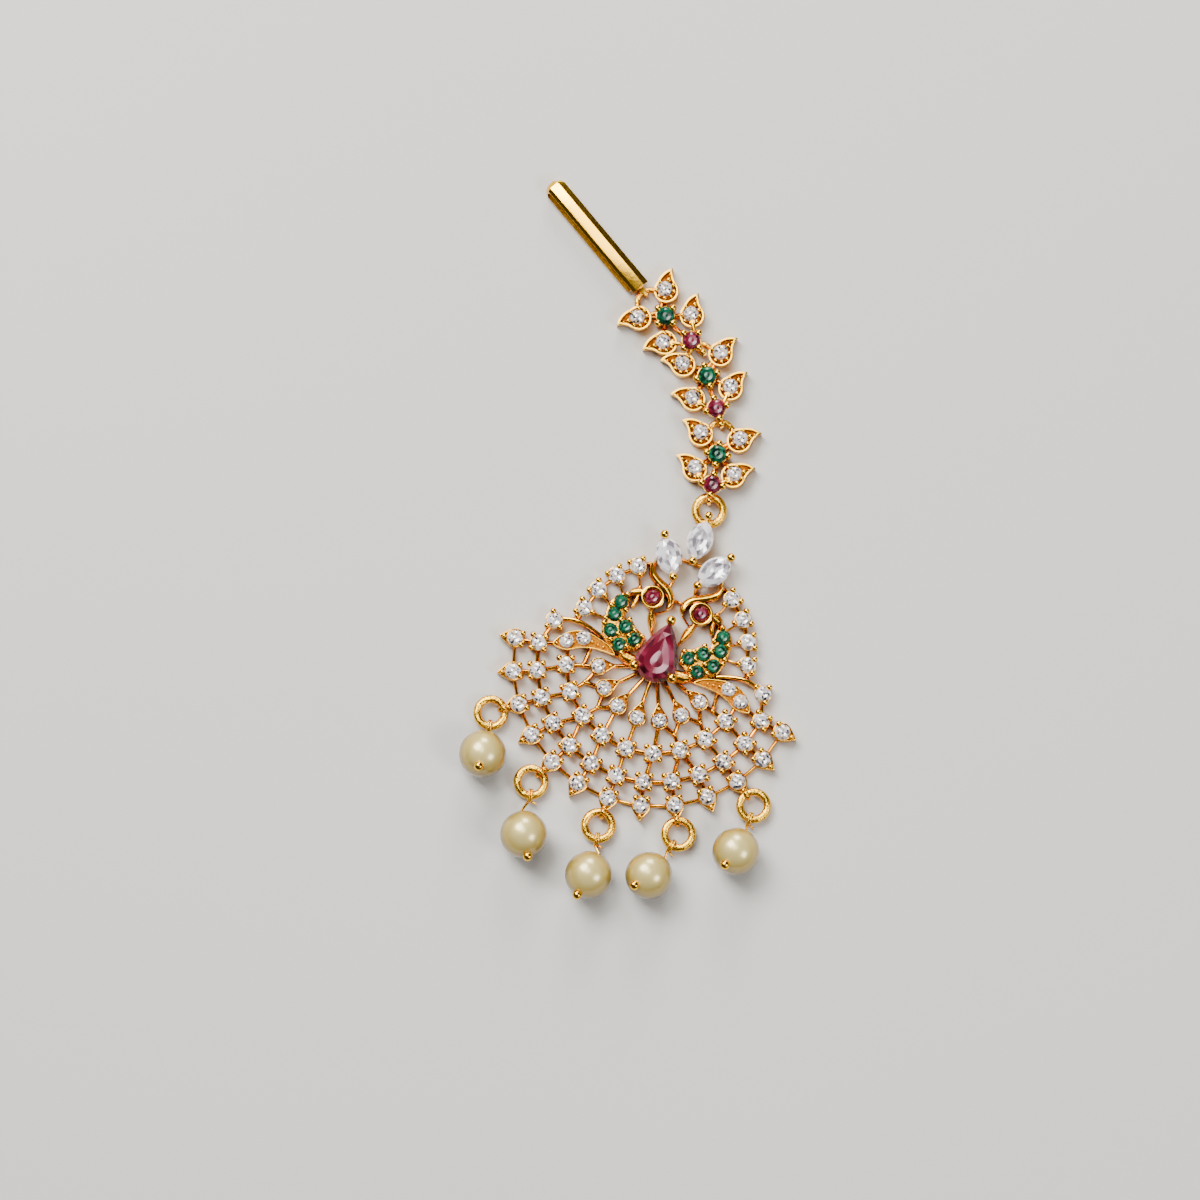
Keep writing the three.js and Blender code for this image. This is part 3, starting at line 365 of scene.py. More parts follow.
def place(x, y, turn):
    return toMetres @ Matrix.Translation((x, y, 0)) @ Matrix.Rotation(math.radians(turn), 4, "Z")


def at(base, x, y, turn=0, z=0, size=(1, 1, 1)):
    spin = Matrix.Rotation(math.radians(turn), 4, "Z")
    return base @ Matrix.Translation((x, y, z)) @ spin @ Matrix.Diagonal((*size, 1))


def rodAlong(base, a, b, width, bottom, top):
    length = math.hypot(b[0] - a[0], b[1] - a[1])
    turn = math.degrees(math.atan2(b[1] - a[1], b[0] - a[0]))
    centre = ((a[0] + b[0]) / 2, (a[1] + b[1]) / 2)
    return stamp(rod, at(base, *centre, turn, (bottom + top) / 2, (length, width, top - bottom)))


def ballAt(base, x, y, z, size, shape=None):
    return stamp(shape or bead, at(base, x, y, 0, z, (size, size, size)))


def prong(base, x, y, height, ball, stem, shape=None):
    return [stamp(post, at(base, x, y, 0, 0, (stem, stem, height))), ballAt(base, x, y, height, ball, shape)]


def finishPiece(name, parts, stands, smooth=35):
    deselectAll()
    for part in parts:
        part.select_set(True)
    bpy.context.view_layer.objects.active = parts[0]
    if len(parts) > 1:
        bpy.ops.object.join()
    piece = bpy.context.object
    piece.name = name
    if smooth:
        bpy.ops.object.shade_smooth_by_angle(angle=math.radians(smooth))
    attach(piece, "root")
    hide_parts(stands)


def polar(radius, bearing):
    angle = math.radians(bearing)
    return radius * math.sin(angle), -radius * math.cos(angle)


def smoothLine(points, closed=False, steps=3):
    # rounds a row of points off, each with any number of values
    count = len(points)
    line = []
    for i in range(count if closed else count - 1):
        p = [points[(i + k) % count] if closed else points[min(max(i + k, 0), count - 1)] for k in (-1, 0, 1, 2)]
        for s in range(steps):
            t = s / steps
            line.append(tuple(
                0.5 * (2 * b + (c - a) * t + (2 * a - 5 * b + 4 * c - d) * t * t + (3 * b - a - 3 * c + d) * t ** 3)
                for a, b, c, d in zip(*p)))
    if not closed:
        line.append(tuple(points[-1]))
    return line


def bendBetween(a, pull, b, steps):
    # a curve from one point towards another, pulled out by a third, without its last point
    return [tuple((1 - t) ** 2 * p + 2 * t * (1 - t) * q + t * t * r for p, q, r in zip(a, pull, b))
            for t in [i / steps for i in range(steps)]]


def drawRibbon(name, mat, rows, side, top):
    # a strip with a rounded back, from a grid laid along a row of points and widths
    line = smoothLine(rows, steps=5)
    last = len(line) - 1
    deselectAll()
    bpy.ops.mesh.primitive_grid_add(x_subdivisions=last, y_subdivisions=8, size=1)
    ribbon = bpy.context.object
    for vertex in ribbon.data.vertices:
        i, t = round((vertex.co.x + 0.5) * last), vertex.co.y * 2
        before, after = line[max(i - 1, 0)], line[min(i + 1, last)]
        way = Vector((after[0] - before[0], after[1] - before[1])).normalized()
        x, y, width = line[i]
        end = 0.45 if i in (0, last) else 1  # both ends are drawn in
        reach = math.sin(t * math.pi / 2) * width / 2 * end
        vertex.co = (x - way.y * reach, y + way.x * reach, side + (top - side) * math.cos(t * math.pi / 2) * end)
    bpy.ops.object.mode_set(mode="EDIT")
    bpy.ops.mesh.select_mode(type="EDGE")
    bpy.ops.mesh.select_all(action="DESELECT")
    bpy.ops.mesh.select_non_manifold()
    bpy.ops.mesh.extrude_region_move(TRANSFORM_OT_translate={"value": (0, 0, -side)})
    bpy.ops.transform.resize(value=(1, 1, 0), center_override=(0, 0, 0))
    bpy.ops.mesh.edge_face_add()
    bpy.ops.mesh.select_all(action="SELECT")
    bpy.ops.mesh.normals_make_consistent(inside=False)
    bpy.ops.object.mode_set(mode="OBJECT")
    return keepShape(ribbon, name, mat)


def dropOutline(radius, reach):
    opening = math.acos(radius / reach)
    turns = [opening + i * (2 * math.pi - 2 * opening) / 16 for i in range(17)]
    return [(reach, 0)] + [(radius * math.cos(t), radius * math.sin(t)) for t in turns]


def mirrorRows(rows, flip):
    return [(flip * row[0], *row[1:]) for row in rows]


rod = drawRod("rod", polishedGold, 0.06)
post = drawPost("post", polishedGold, 0.85)
bead = drawBead("bead", polishedGold, 0.92, 2)
bigBead = drawBead("bigBead", polishedGold, 0.92, 3)
print("tools ready")


fan = {
    "x": 3.716, "y": -15.049, "turn": -19.6,
    # rows of stones: radius from the pear's centre, count, degrees from one to the next
    "petals": (6.9, 7, 22.5), "inner": (10.78, 9, 17.45), "middle": (14.25, 13, 13.45), "outer": (17.1, 13, 13.45),
    "shoulder": (13.2, 93.6),
    "roundCup": {"foot": 0.8, "rim": 1.06, "height": 1.35, "wall": 0.12, "sunk": 0.3, "soft": 0.05},
    "dropCup": {"outline": dropOutline(1.15, 1.95), "top": 1.43, "soft": 0.1, "wall": 0.13, "sunk": 0.2},
    "petalCup": {"outline": dropOutline(1.08, 2.2), "top": 1.45, "soft": 0.07, "wall": 0.12, "sunk": 0.22},
    "cut": {"sides": 12, "crown": 0.36, "girdle": 0.08, "pavilion": 0.4, "table": 0.56, "depth": 0.28},
    "stone": (1.3, 0.99), "petalStone": (1.38, 0.88),  # height and size
    "barWidth": 0.54, "rimWidth": 0.44, "barFoot": 0.02, "netThick": 0.75,
    "prongOut": 1.1, "prong": {"height": 1.45, "ball": 0.38, "stem": 0.25},
    "crossProngs": (45, -45, 135, -135), "shoulderProngs": (60, -60, 150), "outerProngs": (140, -140),
    "tipBead": (1.3, 1.48, 0.3), "eyeBead": (1.75, 0.34),  # how far out where given, height and size
    "ringStones": (-4, -2, 0, 2, 4), "ringOut": 1.81, "ringEye": {"size": 1.74, "wire": 0.15, "halfWidth": 0.26},
    "petalStalk": (2.2, 5.2), "petalBeadTop": 1.42,
    "petalBeads": ((-1.42, 0, 0.25), (0.62, 0.62, 0.25), (0.62, -0.62, 0.25), (-0.62, 0.66, 0.22),
                   (-0.62, -0.66, 0.22)),
    "fork": 8.75, "forkPetals": (0, 1, 4, 5), "forkBead": (0.55, 0.34),
}
fanBase = place(fan["x"], fan["y"], fan["turn"])


def fanRow(radius, count, step):
    bearings = [(i - (count - 1) / 2) * step for i in range(count)]
    return [(*polar(radius, bearing), bearing) for bearing in bearings]


def nearest(point, places):
    return min(places, key=lambda spot: math.hypot(spot[0] - point[0], spot[1] - point[1]))


def drawRingEye(size, wire, halfWidth, draft=0.2):
    # an upright eye along Y, drawn as a ring of draft wire that is then made wide and thin
    loop = drawTorus("ringEye", polishedGold, 1, draft, 28, 10)
    loop.data.transform(Matrix.Rotation(math.pi / 2, 4, "Y"))
    for vertex in loop.data.vertices:
        spoke = Vector((0, vertex.co.y, vertex.co.z))
        rim = spoke.normalized()
        out = size / 2 - wire + (spoke.length - 1) / draft * wire
        vertex.co = (vertex.co.x / draft * halfWidth, rim.y * out, rim.z * out)
    loop.data.transform(Matrix.Translation((0, 0, size / 2)))
    return loop


petals, inner, middle, outer = [fanRow(*fan[row]) for row in ("petals", "inner", "middle", "outer")]
shoulders = [(*polar(fan["shoulder"][0], side * fan["shoulder"][1]), side * fan["shoulder"][1]) for side in (-1, 1)]
roundCup = drawCup("roundCup", polishedGold, **fan["roundCup"])
dropCup = drawPlate("dropCup", polishedGold, **fan["dropCup"])
petalCup = drawPlate("petalCup", polishedGold, **fan["petalCup"])
smallGem = drawGem("smallGem", whiteStone, **fan["cut"])
ringEye = drawRingEye(**fan["ringEye"])


def netBar(a, b, width=fan["barWidth"], top=fan["netThick"]):
    return rodAlong(fanBase, a, b, width, fan["barFoot"], top)


def netStone(x, y, bearing, prongs):
    made = [stamp(roundCup, at(fanBase, x, y, bearing))]
    for turn in prongs:
        dx, dy = polar(fan["prongOut"], bearing + turn)
        made += prong(fanBase, x + dx, y + dy, **fan["prong"])
    return made


def makeNet():
    made = []
    for row in (inner, [shoulders[0]] + middle + [shoulders[1]]):
        made += [netBar(a, b) for a, b in zip(row, row[1:])]
    for stone in inner + middle:
        made += netStone(*stone, fan["crossProngs"])
    for stone in shoulders:
        made += netStone(*stone, fan["shoulderProngs"])
    made += [netBar(stone, nearest(stone, inner)) for stone in middle[1:-1]]
    for index, (x, y, bearing) in enumerate(outer):
        made += netStone(x, y, bearing, fan["outerProngs"])
        made.append(stamp(dropCup, at(fanBase, x, y, bearing - 90)))
        made.append(netBar((x, y), middle[index]))
        out, top, size = fan["tipBead"]
        dx, dy = polar(out, bearing)
        made.append(ballAt(fanBase, x + dx, y + dy, top, size))
        if index - len(outer) // 2 in fan["ringStones"]:
            dx, dy = polar(fan["ringOut"], bearing)
            made.append(stamp(ringEye, at(fanBase, x + dx, y + dy, bearing)))
            made.append(ballAt(fanBase, x + dx, y + dy, *fan["eyeBead"], bigBead))
    made += [netBar(a, b, fan["rimWidth"]) for a, b in zip(outer, outer[1:])]
    return made


def makePetals():
    made = []
    for x, y, bearing in petals:
        made.append(stamp(petalCup, at(fanBase, x, y, bearing + 90)))
        made.append(netBar(*[polar(reach, bearing) for reach in fan["petalStalk"]]))
        for reach, aside, size in fan["petalBeads"]:
            (dx, dy), (sx, sy) = polar(reach, bearing), polar(aside, bearing + 90)
            made.append(ballAt(fanBase, x + dx + sx, y + dy + sy, fan["petalBeadTop"], size))
    made += [netBar(petal, nearest(petal, inner)) for petal in petals[2:-2]]
    for i in fan["forkPetals"]:
        fork = polar(fan["fork"], (petals[i][2] + petals[i + 1][2]) / 2)
        made += [netBar(fork, end) for end in (petals[i], petals[i + 1], nearest(fork, inner))]
        made.append(ballAt(fanBase, *fork, *fan["forkBead"]))
    return made


# one side of the fan, as x and y from the pear's centre, then a width or a size where there is one
sideShapes = {
    "wideLeaf": [(12.4, -1.95), (11.9, -0.7), (10.7, 0.35), (9.1, 0.8), (7.4, 0.55), (5.9, 0.1), (4.95, -0.75),
                 (6.4, -0.8), (8.0, -0.95), (9.4, -1.4), (10.7, -2.1)],
    "wideLeafStones": [(11.0, -1.0), (9.15, -0.05)],
    "wideLeafBeads": [(12.0, -1.65, 0.2), (10.15, -0.95, 0.22), (10.05, 0.1, 0.22), (8.05, -0.1, 0.22),
                      (7.3, -0.2, 0.18), (6.6, -0.25, 0.16)],
    "shoulderBar": [(12.45, 1.3, 0.6), (10.9, 1.65, 0.64), (9.4, 1.5, 0.64), (8.0, 1.1, 0.62), (7.2, 0.8, 0.6)],
    "neck": [(4.5, 11.35, 0.5), (4.05, 10.1, 0.95), (2.95, 9.3, 1.15), (1.75, 8.7, 1.2), (1.0, 7.9, 1.05),
             (0.85, 7.15, 0.85), (1.0, 6.45, 0.35)],
    "wattle": [(2.75, 6.2, 0.45), (2.5, 5.3, 0.95), (2.2, 4.5, 1.05), (1.85, 3.3, 0.35)],
    "breast": [(4.3, 7.6, 0.9), (5.0, 7.35, 1.3), (5.75, 7.0, 0.9)],
    "breastTail": [(4.75, 7.1, 0.7), (4.85, 6.2, 0.8), (5.1, 5.3, 0.45)],
    "pearShoulder": [(4.6, -0.3, 0.9), (3.6, -0.5, 1.5), (2.35, -0.6, 1.5)],
    "wing": [(5.5, 6.4), (7.1, 6.4), (7.85, 5.0), (7.7, 2.3), (7.25, 0.95), (6.3, 0.15), (4.9, -0.45), (3.6, 0.2),
             (2.45, 1.05), (2.25, 2.6), (3.6, 3.2), (4.5, 3.95), (5.45, 3.9), (5.4, 5.0)],
    "wingBeads": [(7.4, 4.85), (5.55, 4.85), (7.55, 3.15), (5.7, 3.55), (7.5, 2.55), (4.75, 3.9), (3.75, 2.85),
                  (4.2, 2.05), (5.5, 1.85), (6.1, 0.9), (2.7, 2.5), (2.75, 1.2), (4.05, 0.75), (4.35, -0.2),
                  (6.0, 6.7)],
    "leafTies": [(11.8, -1.5), (8.0, -0.5), (10.6, -1.6)],
    "crossBars": [(6.4, -0.3), (4.4, -0.4), (1.46, 10.15), (1.9, 3.5), (1.35, 2.5)],
    "haloWires": [(4.9, 8.0), (6.5, 6.5), (7.4, 4.9), (7.45, 3.2)],
    "haloEnds": [(4.5, 11.3), (10.7, 1.7), (10.85, 2.25)],
    "eye": [(3.05, 7.35)],
    "greens": [(6.45, 5.6), (6.7, 3.95), (6.5, 1.95), (4.93, 2.95), (3.4, 1.85), (4.93, 0.65)],
}
sideHeights = {  # the side and the crest of each rounded strip
    "shoulderBar": (0.95, 1.5), "neck": (0.95, 1.75), "wattle": (0.7, 1.6), "breast": (0.7, 1.65),
    "breastTail": (0.7, 1.4), "pearShoulder": (0.6, 1.5),
}
sideParts = {
    "leafCup": {"top": 1.45, "soft": 0.08, "wall": 0.14, "sunk": 0.16}, "wingPlate": {"top": 1.1, "soft": 0.15},
    "bezel": {"foot": 1.42, "rim": 1.44, "height": 1.7, "wall": 0.36, "sunk": 0.45, "soft": 0.13, "sides": 32},
    "wingProng": {"height": 1.4, "ball": 0.36, "stem": 0.26}, "leafBeadTop": 1.36, "forkBearing": 69.5,
    "chinWire": 0.28, "breastBar": 0.6, "crestBar": 0.4, "topBar": 0.5, "leafBar": 0.8, "pearBar": (0.4, 1.1),
    "crest": (0, 7.9),
}
halo = {
    "centre": 1.7, "radius": 10.45, "count": 4, "start": 34.7, "step": 15.25, "prongs": (48, -48, 180),
    "wire": 0.34, "wireBead": (0.85, 0.3), "endBead": (1.2, 0.34),
}
bezel = drawCup("bezel", polishedGold, **sideParts["bezel"])


def makeSide(flip):
    rows = {name: mirrorRows(points, flip) for name, points in sideShapes.items()}
    shapes = [drawPlate("wideLeafCup", polishedGold, smoothLine(rows["wideLeaf"], True), **sideParts["leafCup"])]
    for name, heights in sideHeights.items():
        mat = polishedGold if name in ("shoulderBar", "neck") else stippledGold
        shapes.append(drawRibbon(name, mat, rows[name], *heights))
    shapes.append(drawPlate("wingPlate", stippledGold, rows["wing"], **sideParts["wingPlate"]))
    made = [stamp(shape, fanBase) for shape in shapes]
    made.append(stamp(bezel, at(fanBase, *rows["eye"][0])))
    for x, y in rows["wingBeads"]:
        made += prong(fanBase, x, y, **sideParts["wingProng"])
    for x, y, size in rows["wideLeafBeads"]:
        made.append(ballAt(fanBase, x, y, sideParts["leafBeadTop"], size))
    tip, under, low = rows["leafTies"]
    fork = polar(fan["fork"], flip * sideParts["forkBearing"])
    ties = [(tip, nearest(tip, middle)), (low, nearest(low, inner)), (fork, under)]
    ties += [(fork, nearest(fork, inner)), (fork, nearest(fork, petals))]
    made += [netBar(a, b) for a, b in ties]
    leafRoot, pearSide, crown, pearUpper, pearEdge = rows["crossBars"]
    made.append(netBar(leafRoot, pearSide, sideParts["leafBar"]))
    made.append(ballAt(fanBase, *fork, *fan["forkBead"]))
    beak, throat, chest = rows["neck"][-1], rows["wattle"][1], rows["breast"][0]
    made += [netBar(throat, end, sideParts["chinWire"]) for end in (beak, chest)]
    made.append(netBar(rows["breast"][2], rows["wing"][0], sideParts["breastBar"]))
    made.append(netBar(sideParts["crest"], rows["neck"][4], sideParts["crestBar"]))
    made.append(netBar(crown, rows["neck"][3], sideParts["topBar"]))
    made.append(netBar(pearUpper, pearEdge, *sideParts["pearBar"]))
    return made


def haloStones(flip):
    bearings = [flip * (180 - halo["start"] - i * halo["step"]) for i in range(halo["count"])]
    spots = [(*polar(halo["radius"], bearing), bearing) for bearing in bearings]
    return [(x, y + halo["centre"], bearing) for x, y, bearing in spots]


def makeHalo(flip):
    stones = haloStones(flip)
    made = []
    for stone in stones:
        made += netStone(*stone, halo["prongs"])
    top, foot, footBead = mirrorRows(sideShapes["haloEnds"], flip)
    ends = [top] + stones + [foot]
    made += [netBar(a, b) for a, b in zip(ends, ends[1:])]
    for stone, (x, y) in zip(stones, mirrorRows(sideShapes["haloWires"], flip)):
        made.append(netBar(stone, (x, y), halo["wire"]))
        made.append(ballAt(fanBase, x, y, *halo["wireBead"]))
    made.append(ballAt(fanBase, *footBead, *halo["endBead"]))
    return made


pear = {
    "width": 4.8, "length": 7.35, "girdle": 2.45, "shoulderPull": 0.72, "sidePull": 0.62, "fit": (1.07, 1.02, 1),
    "cut": {"sides": 24, "crown": 0.85, "girdle": 0.15, "pavilion": 1.2, "table": 0.6, "depth": 0.12},
    "collar": {"top": 2.4, "soft": 0.07, "wall": 0.16, "sunk": 0.3},
    "tipOut": 0.28, "lowOut": 0.3, "lowProngs": -1.25, "prong": {"height": 2.95, "ball": 0.6, "stem": 0.34},
    "brace": (0.5, 2.1), "braceStart": 0.8,
}
marquise = {
    "width": 3.2, "length": 5.0, "girdle": 2.25, "collarShare": 0.97,
    "cut": {"sides": 16, "crown": 0.6, "girdle": 0.12, "pavilion": 0.9, "table": 0.55, "depth": 0.2},
    "collar": {"bottom": 1.55, "top": 2.15, "soft": 0.05, "wall": 0.13, "sunk": 0.3},
    "tipOut": 0.12, "topReach": 3.15, "prong": {"height": 2.67, "ball": 0.52, "stem": 0.22},
    "rail": (0.5, 0.02, 0.32), "tie": (0.42, 1.58, 1.98), "tieStart": 2.2,
    "footBars": [((3.0, 12.9), (0, 12.9), 0.45, 0.45), ((4.1, 12.2), (4.2, 10.8), 0.5, 1.65),
                 ((4.1, 12.2), (2.8, 12.6), 0.45, 0.45)],
    "places": [("marquise_left", -2.87, 12.55, 30.5), ("marquise_top", 0, 15.5, 0),
               ("marquise_right", 2.87, 12.55, -30.5)],
}


def pearOutline():
    radius, tip = pear["width"] / 2, pear["length"] - pear["width"] / 2
    right = bendBetween((0, tip), (radius * pear["shoulderPull"], tip * pear["sidePull"]), (radius, 0), 10)
    bottom = [(radius * math.cos(a), radius * math.sin(a)) for a in [-i * math.pi / 18 for i in range(19)]]
    return right + bottom + [(-x, y) for x, y in reversed(right[1:])]


def marquiseOutline(share=1.0):
    half, bulge = marquise["length"] / 2, marquise["width"] / 2
    radius = (half * half + bulge * bulge) / (2 * bulge)
    sweep = math.asin(half / radius)
    angles = [-sweep + 2 * sweep * i / 9 for i in range(10)]
    side = [(bulge - radius + radius * math.cos(a), radius * math.sin(a)) for a in angles]
    return [(x * share, y * share) for x, y in side + [(-x, -y) for x, y in side[1:-1]]]


pearCollar = drawPlate("pearCollar", polishedGold, pearOutline(), **pear["collar"])
marquiseCollar = drawPlate(
    "marquiseCollar", polishedGold, marquiseOutline(marquise["collarShare"]), **marquise["collar"])


def makeTallSettings():
    made = [stamp(pearCollar, fanBase)]
    low, tip = pear["lowProngs"], pear["length"] - pear["width"] / 2 + pear["tipOut"]
    side = math.sqrt((pear["width"] / 2 + pear["lowOut"]) ** 2 - low ** 2)
    for x, y in ((0, tip), (side, low), (-side, low)):
        made += prong(fanBase, x, y, **pear["prong"], shape=bigBead)
        made.append(netBar((x * pear["braceStart"], y * pear["braceStart"]), (x, y), *pear["brace"]))
    for name, x, y, turn in marquise["places"]:
        base = at(fanBase, x, y, turn)
        near = marquise["length"] / 2 + marquise["tipOut"]
        far = marquise["topReach"] if name == "marquise_top" else near
        made.append(stamp(marquiseCollar, base))
        for end in (-near, far):
            made += prong(base, 0, end, **marquise["prong"], shape=bigBead)
        made.append(rodAlong(base, (0, -near), (0, far), *marquise["rail"]))
        for start, end in ((marquise["tieStart"], far), (-marquise["tieStart"], -near)):
            made.append(rodAlong(base, (0, start), (0, end), *marquise["tie"]))
    for flip in (-1, 1):
        for a, b, width, top in marquise["footBars"]:
            made.append(netBar(*mirrorRows([a, b], flip), width, top))
    return made


fanParts = makeNet() + makePetals() + makeTallSettings()
for flip in (-1, 1):
    fanParts += makeSide(flip) + makeHalo(flip)
finishPiece("fanMetal", fanParts, "fan_frame")
print("fan metal made")

leafStones = [(flip * x, y, 0) for x, y in sideShapes["wideLeafStones"] for flip in (-1, 1)]
netStones = inner + middle + outer + shoulders + haloStones(-1) + haloStones(1)
whiteParts = []
for spots, (height, size) in ((netStones, fan["stone"]), (petals + leafStones, fan["petalStone"])):
    whiteParts += [stamp(smallGem, at(fanBase, *spot, height, (size, size, 1))) for spot in spots]
finishPiece("fanStones", whiteParts, "fan_frame", smooth=0)
print("fan stones made")

pearGem = reshapeGem(drawGem("pearGem", redStone, **pear["cut"]), pearOutline())
pearStone = stamp(pearGem, at(fanBase, 0, 0, 0, pear["girdle"], pear["fit"]))
finishPiece("pearStone", [pearStone], "pear_ruby", smooth=0)
marquiseGem = reshapeGem(drawGem("marquiseGem", clearStone, **marquise["cut"]), marquiseOutline())
for name, x, y, turn in marquise["places"]:
    stone = stamp(marquiseGem, at(fanBase, x, y, turn, marquise["girdle"]))
    finishPiece(name + "_stone", [stone], name, smooth=0)

colourCut = {"sides": 12, "crown": 0.4, "girdle": 0.08, "pavilion": 0.5, "table": 0.6, "depth": 0.12}
colourStones = {"eye": (1.33, 0.97), "wing": (1.28, 0.88), "link": (2.12, 1.13)}  # height and size
redGem = drawGem("redGem", redStone, **colourCut)
greenGem = drawGem("greenGem", greenStone, **colourCut)


def colourStone(gem, base, x, y, turn, kind):
    height, size = colourStones[kind]
    return stamp(gem, at(base, x, y, turn, height, (size, size, 1)))


for side, flip in (("left", -1), ("right", 1)):
    eye = colourStone(redGem, fanBase, *mirrorRows(sideShapes["eye"], flip)[0], 0, "eye")
    finishPiece(f"birdEye_{side}", [eye], f"eye_ruby_{side}", smooth=0)
    for i, (x, y) in enumerate(mirrorRows(sideShapes["greens"], flip), 1):
        stone = colourStone(greenGem, fanBase, x, y, 20 * i, "wing")
        finishPiece(f"wingStone_{side}_{i}", [stone], f"wing_green_{side}_{i}", smooth=0)
print("pendant stones set")


linkShape = {
    # name, place, turn, and how far the red stone lies below the green one
    "places": [("link_lower", 11.026, 10.052, -9.7, 3.7), ("link_middle", 9.816, 19.543, 16.0, 4.1),
               ("link_upper", 4.855, 26.804, 45.7, 4.31)],
    "leaf": {"tip": (2.45, 1.02), "centre": (-0.06, -0.3), "radius": 1.5, "opening": 0.12,
             "upperPull": (1.3, 1.75), "lowerPull": (1.55, 0.4)},
    "leafCup": {"top": 1.6, "soft": 0.1, "wall": 0.27, "sunk": 0.28},
    "leafSide": 2.38, "leafRows": (2.4, -1.92), "leafArm": (0.75, 0.02, 1.0), "armStart": 0.3,
    "leafBeads": [(1.1, 0.42, 0.33), (1.0, -0.42, 0.28), (0.5, -1.02, 0.29), (-0.2, -1.18, 0.27),
                  (-0.85, -0.8, 0.29), (-1.14, -0.1, 0.26), (-0.85, 0.6, 0.29), (0.2, 0.98, 0.23), (1.65, 0.72, 0.17)],
    "leafBeadTop": 1.56, "leafGem": (15, 1.36, 0.94),
    "stoneCup": {"foot": 1.0, "rim": 1.2, "height": 1.95, "wall": 0.16, "sunk": 0.3, "soft": 0.05},
    "redFoot": 1.5, "redCup": 0.45,
    "prongOut": 1.28, "prongStem": 0.27, "prongTop": 2.15, "ball": (2.14, (0.44, 0.44, 0.42)),
    "hoopBeyond": 2.6, "hoopHeight": 0.74, "hoopRadius": 1.5, "hoopWire": 0.36,
    "eyeReach": 2.25, "eyeLower": (0.54, 0.01, 0.31), "eyeUpper": (0.54, 1.5, 1.8), "eyeStart": 1.05,
    "upperStart": 1.0, "backPost": 1.1, "eyePost": (0.02, (0.27, 0.2, 1.75)), "eyeBall": (1.85, (0.38, 0.38, 0.36)),
    "ballBack": 0.3, "stay": (0.5, 1.5, 1.85), "stayFoot": (1.75, -0.9), "stayEnd": (0.95, 0.35),
    "stayPost": (0.6, (0.33, 0.33, 1.2)),
}


def leafOutline():
    leaf = linkShape["leaf"]
    tip, (x, y), radius = leaf["tip"], leaf["centre"], leaf["radius"]
    turns = [math.pi / 2 + i * (1.5 * math.pi - leaf["opening"]) / 14 for i in range(15)]
    arc = [(x + radius * math.cos(a), y + radius * math.sin(a)) for a in turns]
    upper = bendBetween(tip, leaf["upperPull"], (x, y + radius), 6)
    return upper + arc[:-1] + bendBetween(arc[-1], leaf["lowerPull"], tip, 6)


leafCup = drawPlate("leafCup", polishedGold, leafOutline(), **linkShape["leafCup"])
hoop = drawTorus("hoop", wireGold, linkShape["hoopRadius"], linkShape["hoopWire"])
stoneCup = drawCup("stoneCup", polishedGold, **linkShape["stoneCup"])


def makeLinkStones(base, drop):
    redCup = (1, 1, linkShape["redCup"] / linkShape["stoneCup"]["height"])
    made = [stamp(stoneCup, base), stamp(stoneCup, at(base, 0, -drop, 0, linkShape["redFoot"], redCup))]
    stem = linkShape["prongStem"]
    for y, foot in ((0, 0), (-drop, linkShape["redFoot"])):
        for angle in (0, 90, 180, 270):
            dx, dy = polar(linkShape["prongOut"], angle)
            made.append(stamp(post, at(base, dx, y + dy, 0, foot, (stem, stem, linkShape["prongTop"] - foot))))
            made.append(stamp(bigBead, at(base, dx, y + dy, 0, *linkShape["ball"])))
    return made


def makeLinkEye(base, drop):
    made = [stamp(hoop, at(base, 0, linkShape["hoopBeyond"], 0, linkShape["hoopHeight"]))]
    end = (0, -drop - linkShape["eyeReach"])
    made.append(rodAlong(base, (0, -linkShape["eyeStart"]), end, *linkShape["eyeLower"]))
    made.append(rodAlong(base, (0, -drop - linkShape["upperStart"]), end, *linkShape["eyeUpper"]))
    for y in (end[1], -linkShape["backPost"]):
        made.append(stamp(post, at(base, 0, y, 0, *linkShape["eyePost"])))
    made.append(stamp(bigBead, at(base, 0, end[1] + linkShape["ballBack"], 0, *linkShape["eyeBall"])))
    return made


def makeLeaves(base, drop):
    made, stones = [], []
    turn, height, size = linkShape["leafGem"]
    for flip in (-1, 1):
        x = flip * linkShape["leafSide"]
        for y in linkShape["leafRows"]:
            made.append(stamp(leafCup, at(base, x, y, 0, 0, (flip, 1, 1))))
            start = (x * linkShape["armStart"], y * linkShape["armStart"])
            made.append(rodAlong(base, start, (x, y), *linkShape["leafArm"]))
            for dx, dy, ball in linkShape["leafBeads"]:
                made.append(ballAt(base, x + flip * dx, y + dy, linkShape["leafBeadTop"], ball))
            stones.append(stamp(smallGem, at(base, x, y, turn * flip, height, (size, size, 1))))
        footX, footY = linkShape["stayFoot"]
        foot = (flip * footX, linkShape["leafRows"][1] + footY)
        end = (flip * linkShape["stayEnd"][0], -drop + linkShape["stayEnd"][1])
        made.append(rodAlong(base, foot, end, *linkShape["stay"]))
        made.append(stamp(post, at(base, *foot, 0, *linkShape["stayPost"])))
    return made, stones


for name, x, y, turn, drop in linkShape["places"]:
    base = place(x, y, turn)
    metal = makeLinkStones(base, drop) + makeLinkEye(base, drop)
    leaves, stones = makeLeaves(base, drop)
    finishPiece(name + "_metal", metal + leaves, name)
    finishPiece(name + "_whiteStones", stones, name, smooth=0)
    green = colourStone(greenGem, base, 0, 0, 0, "link")
    finishPiece(name + "_greenStone", [green], name + "_green", smooth=0)
    red = colourStone(redGem, base, 0, -drop, 0, "link")
    finishPiece(name + "_redStone", [red], name + "_ruby", smooth=0)
print("links made")


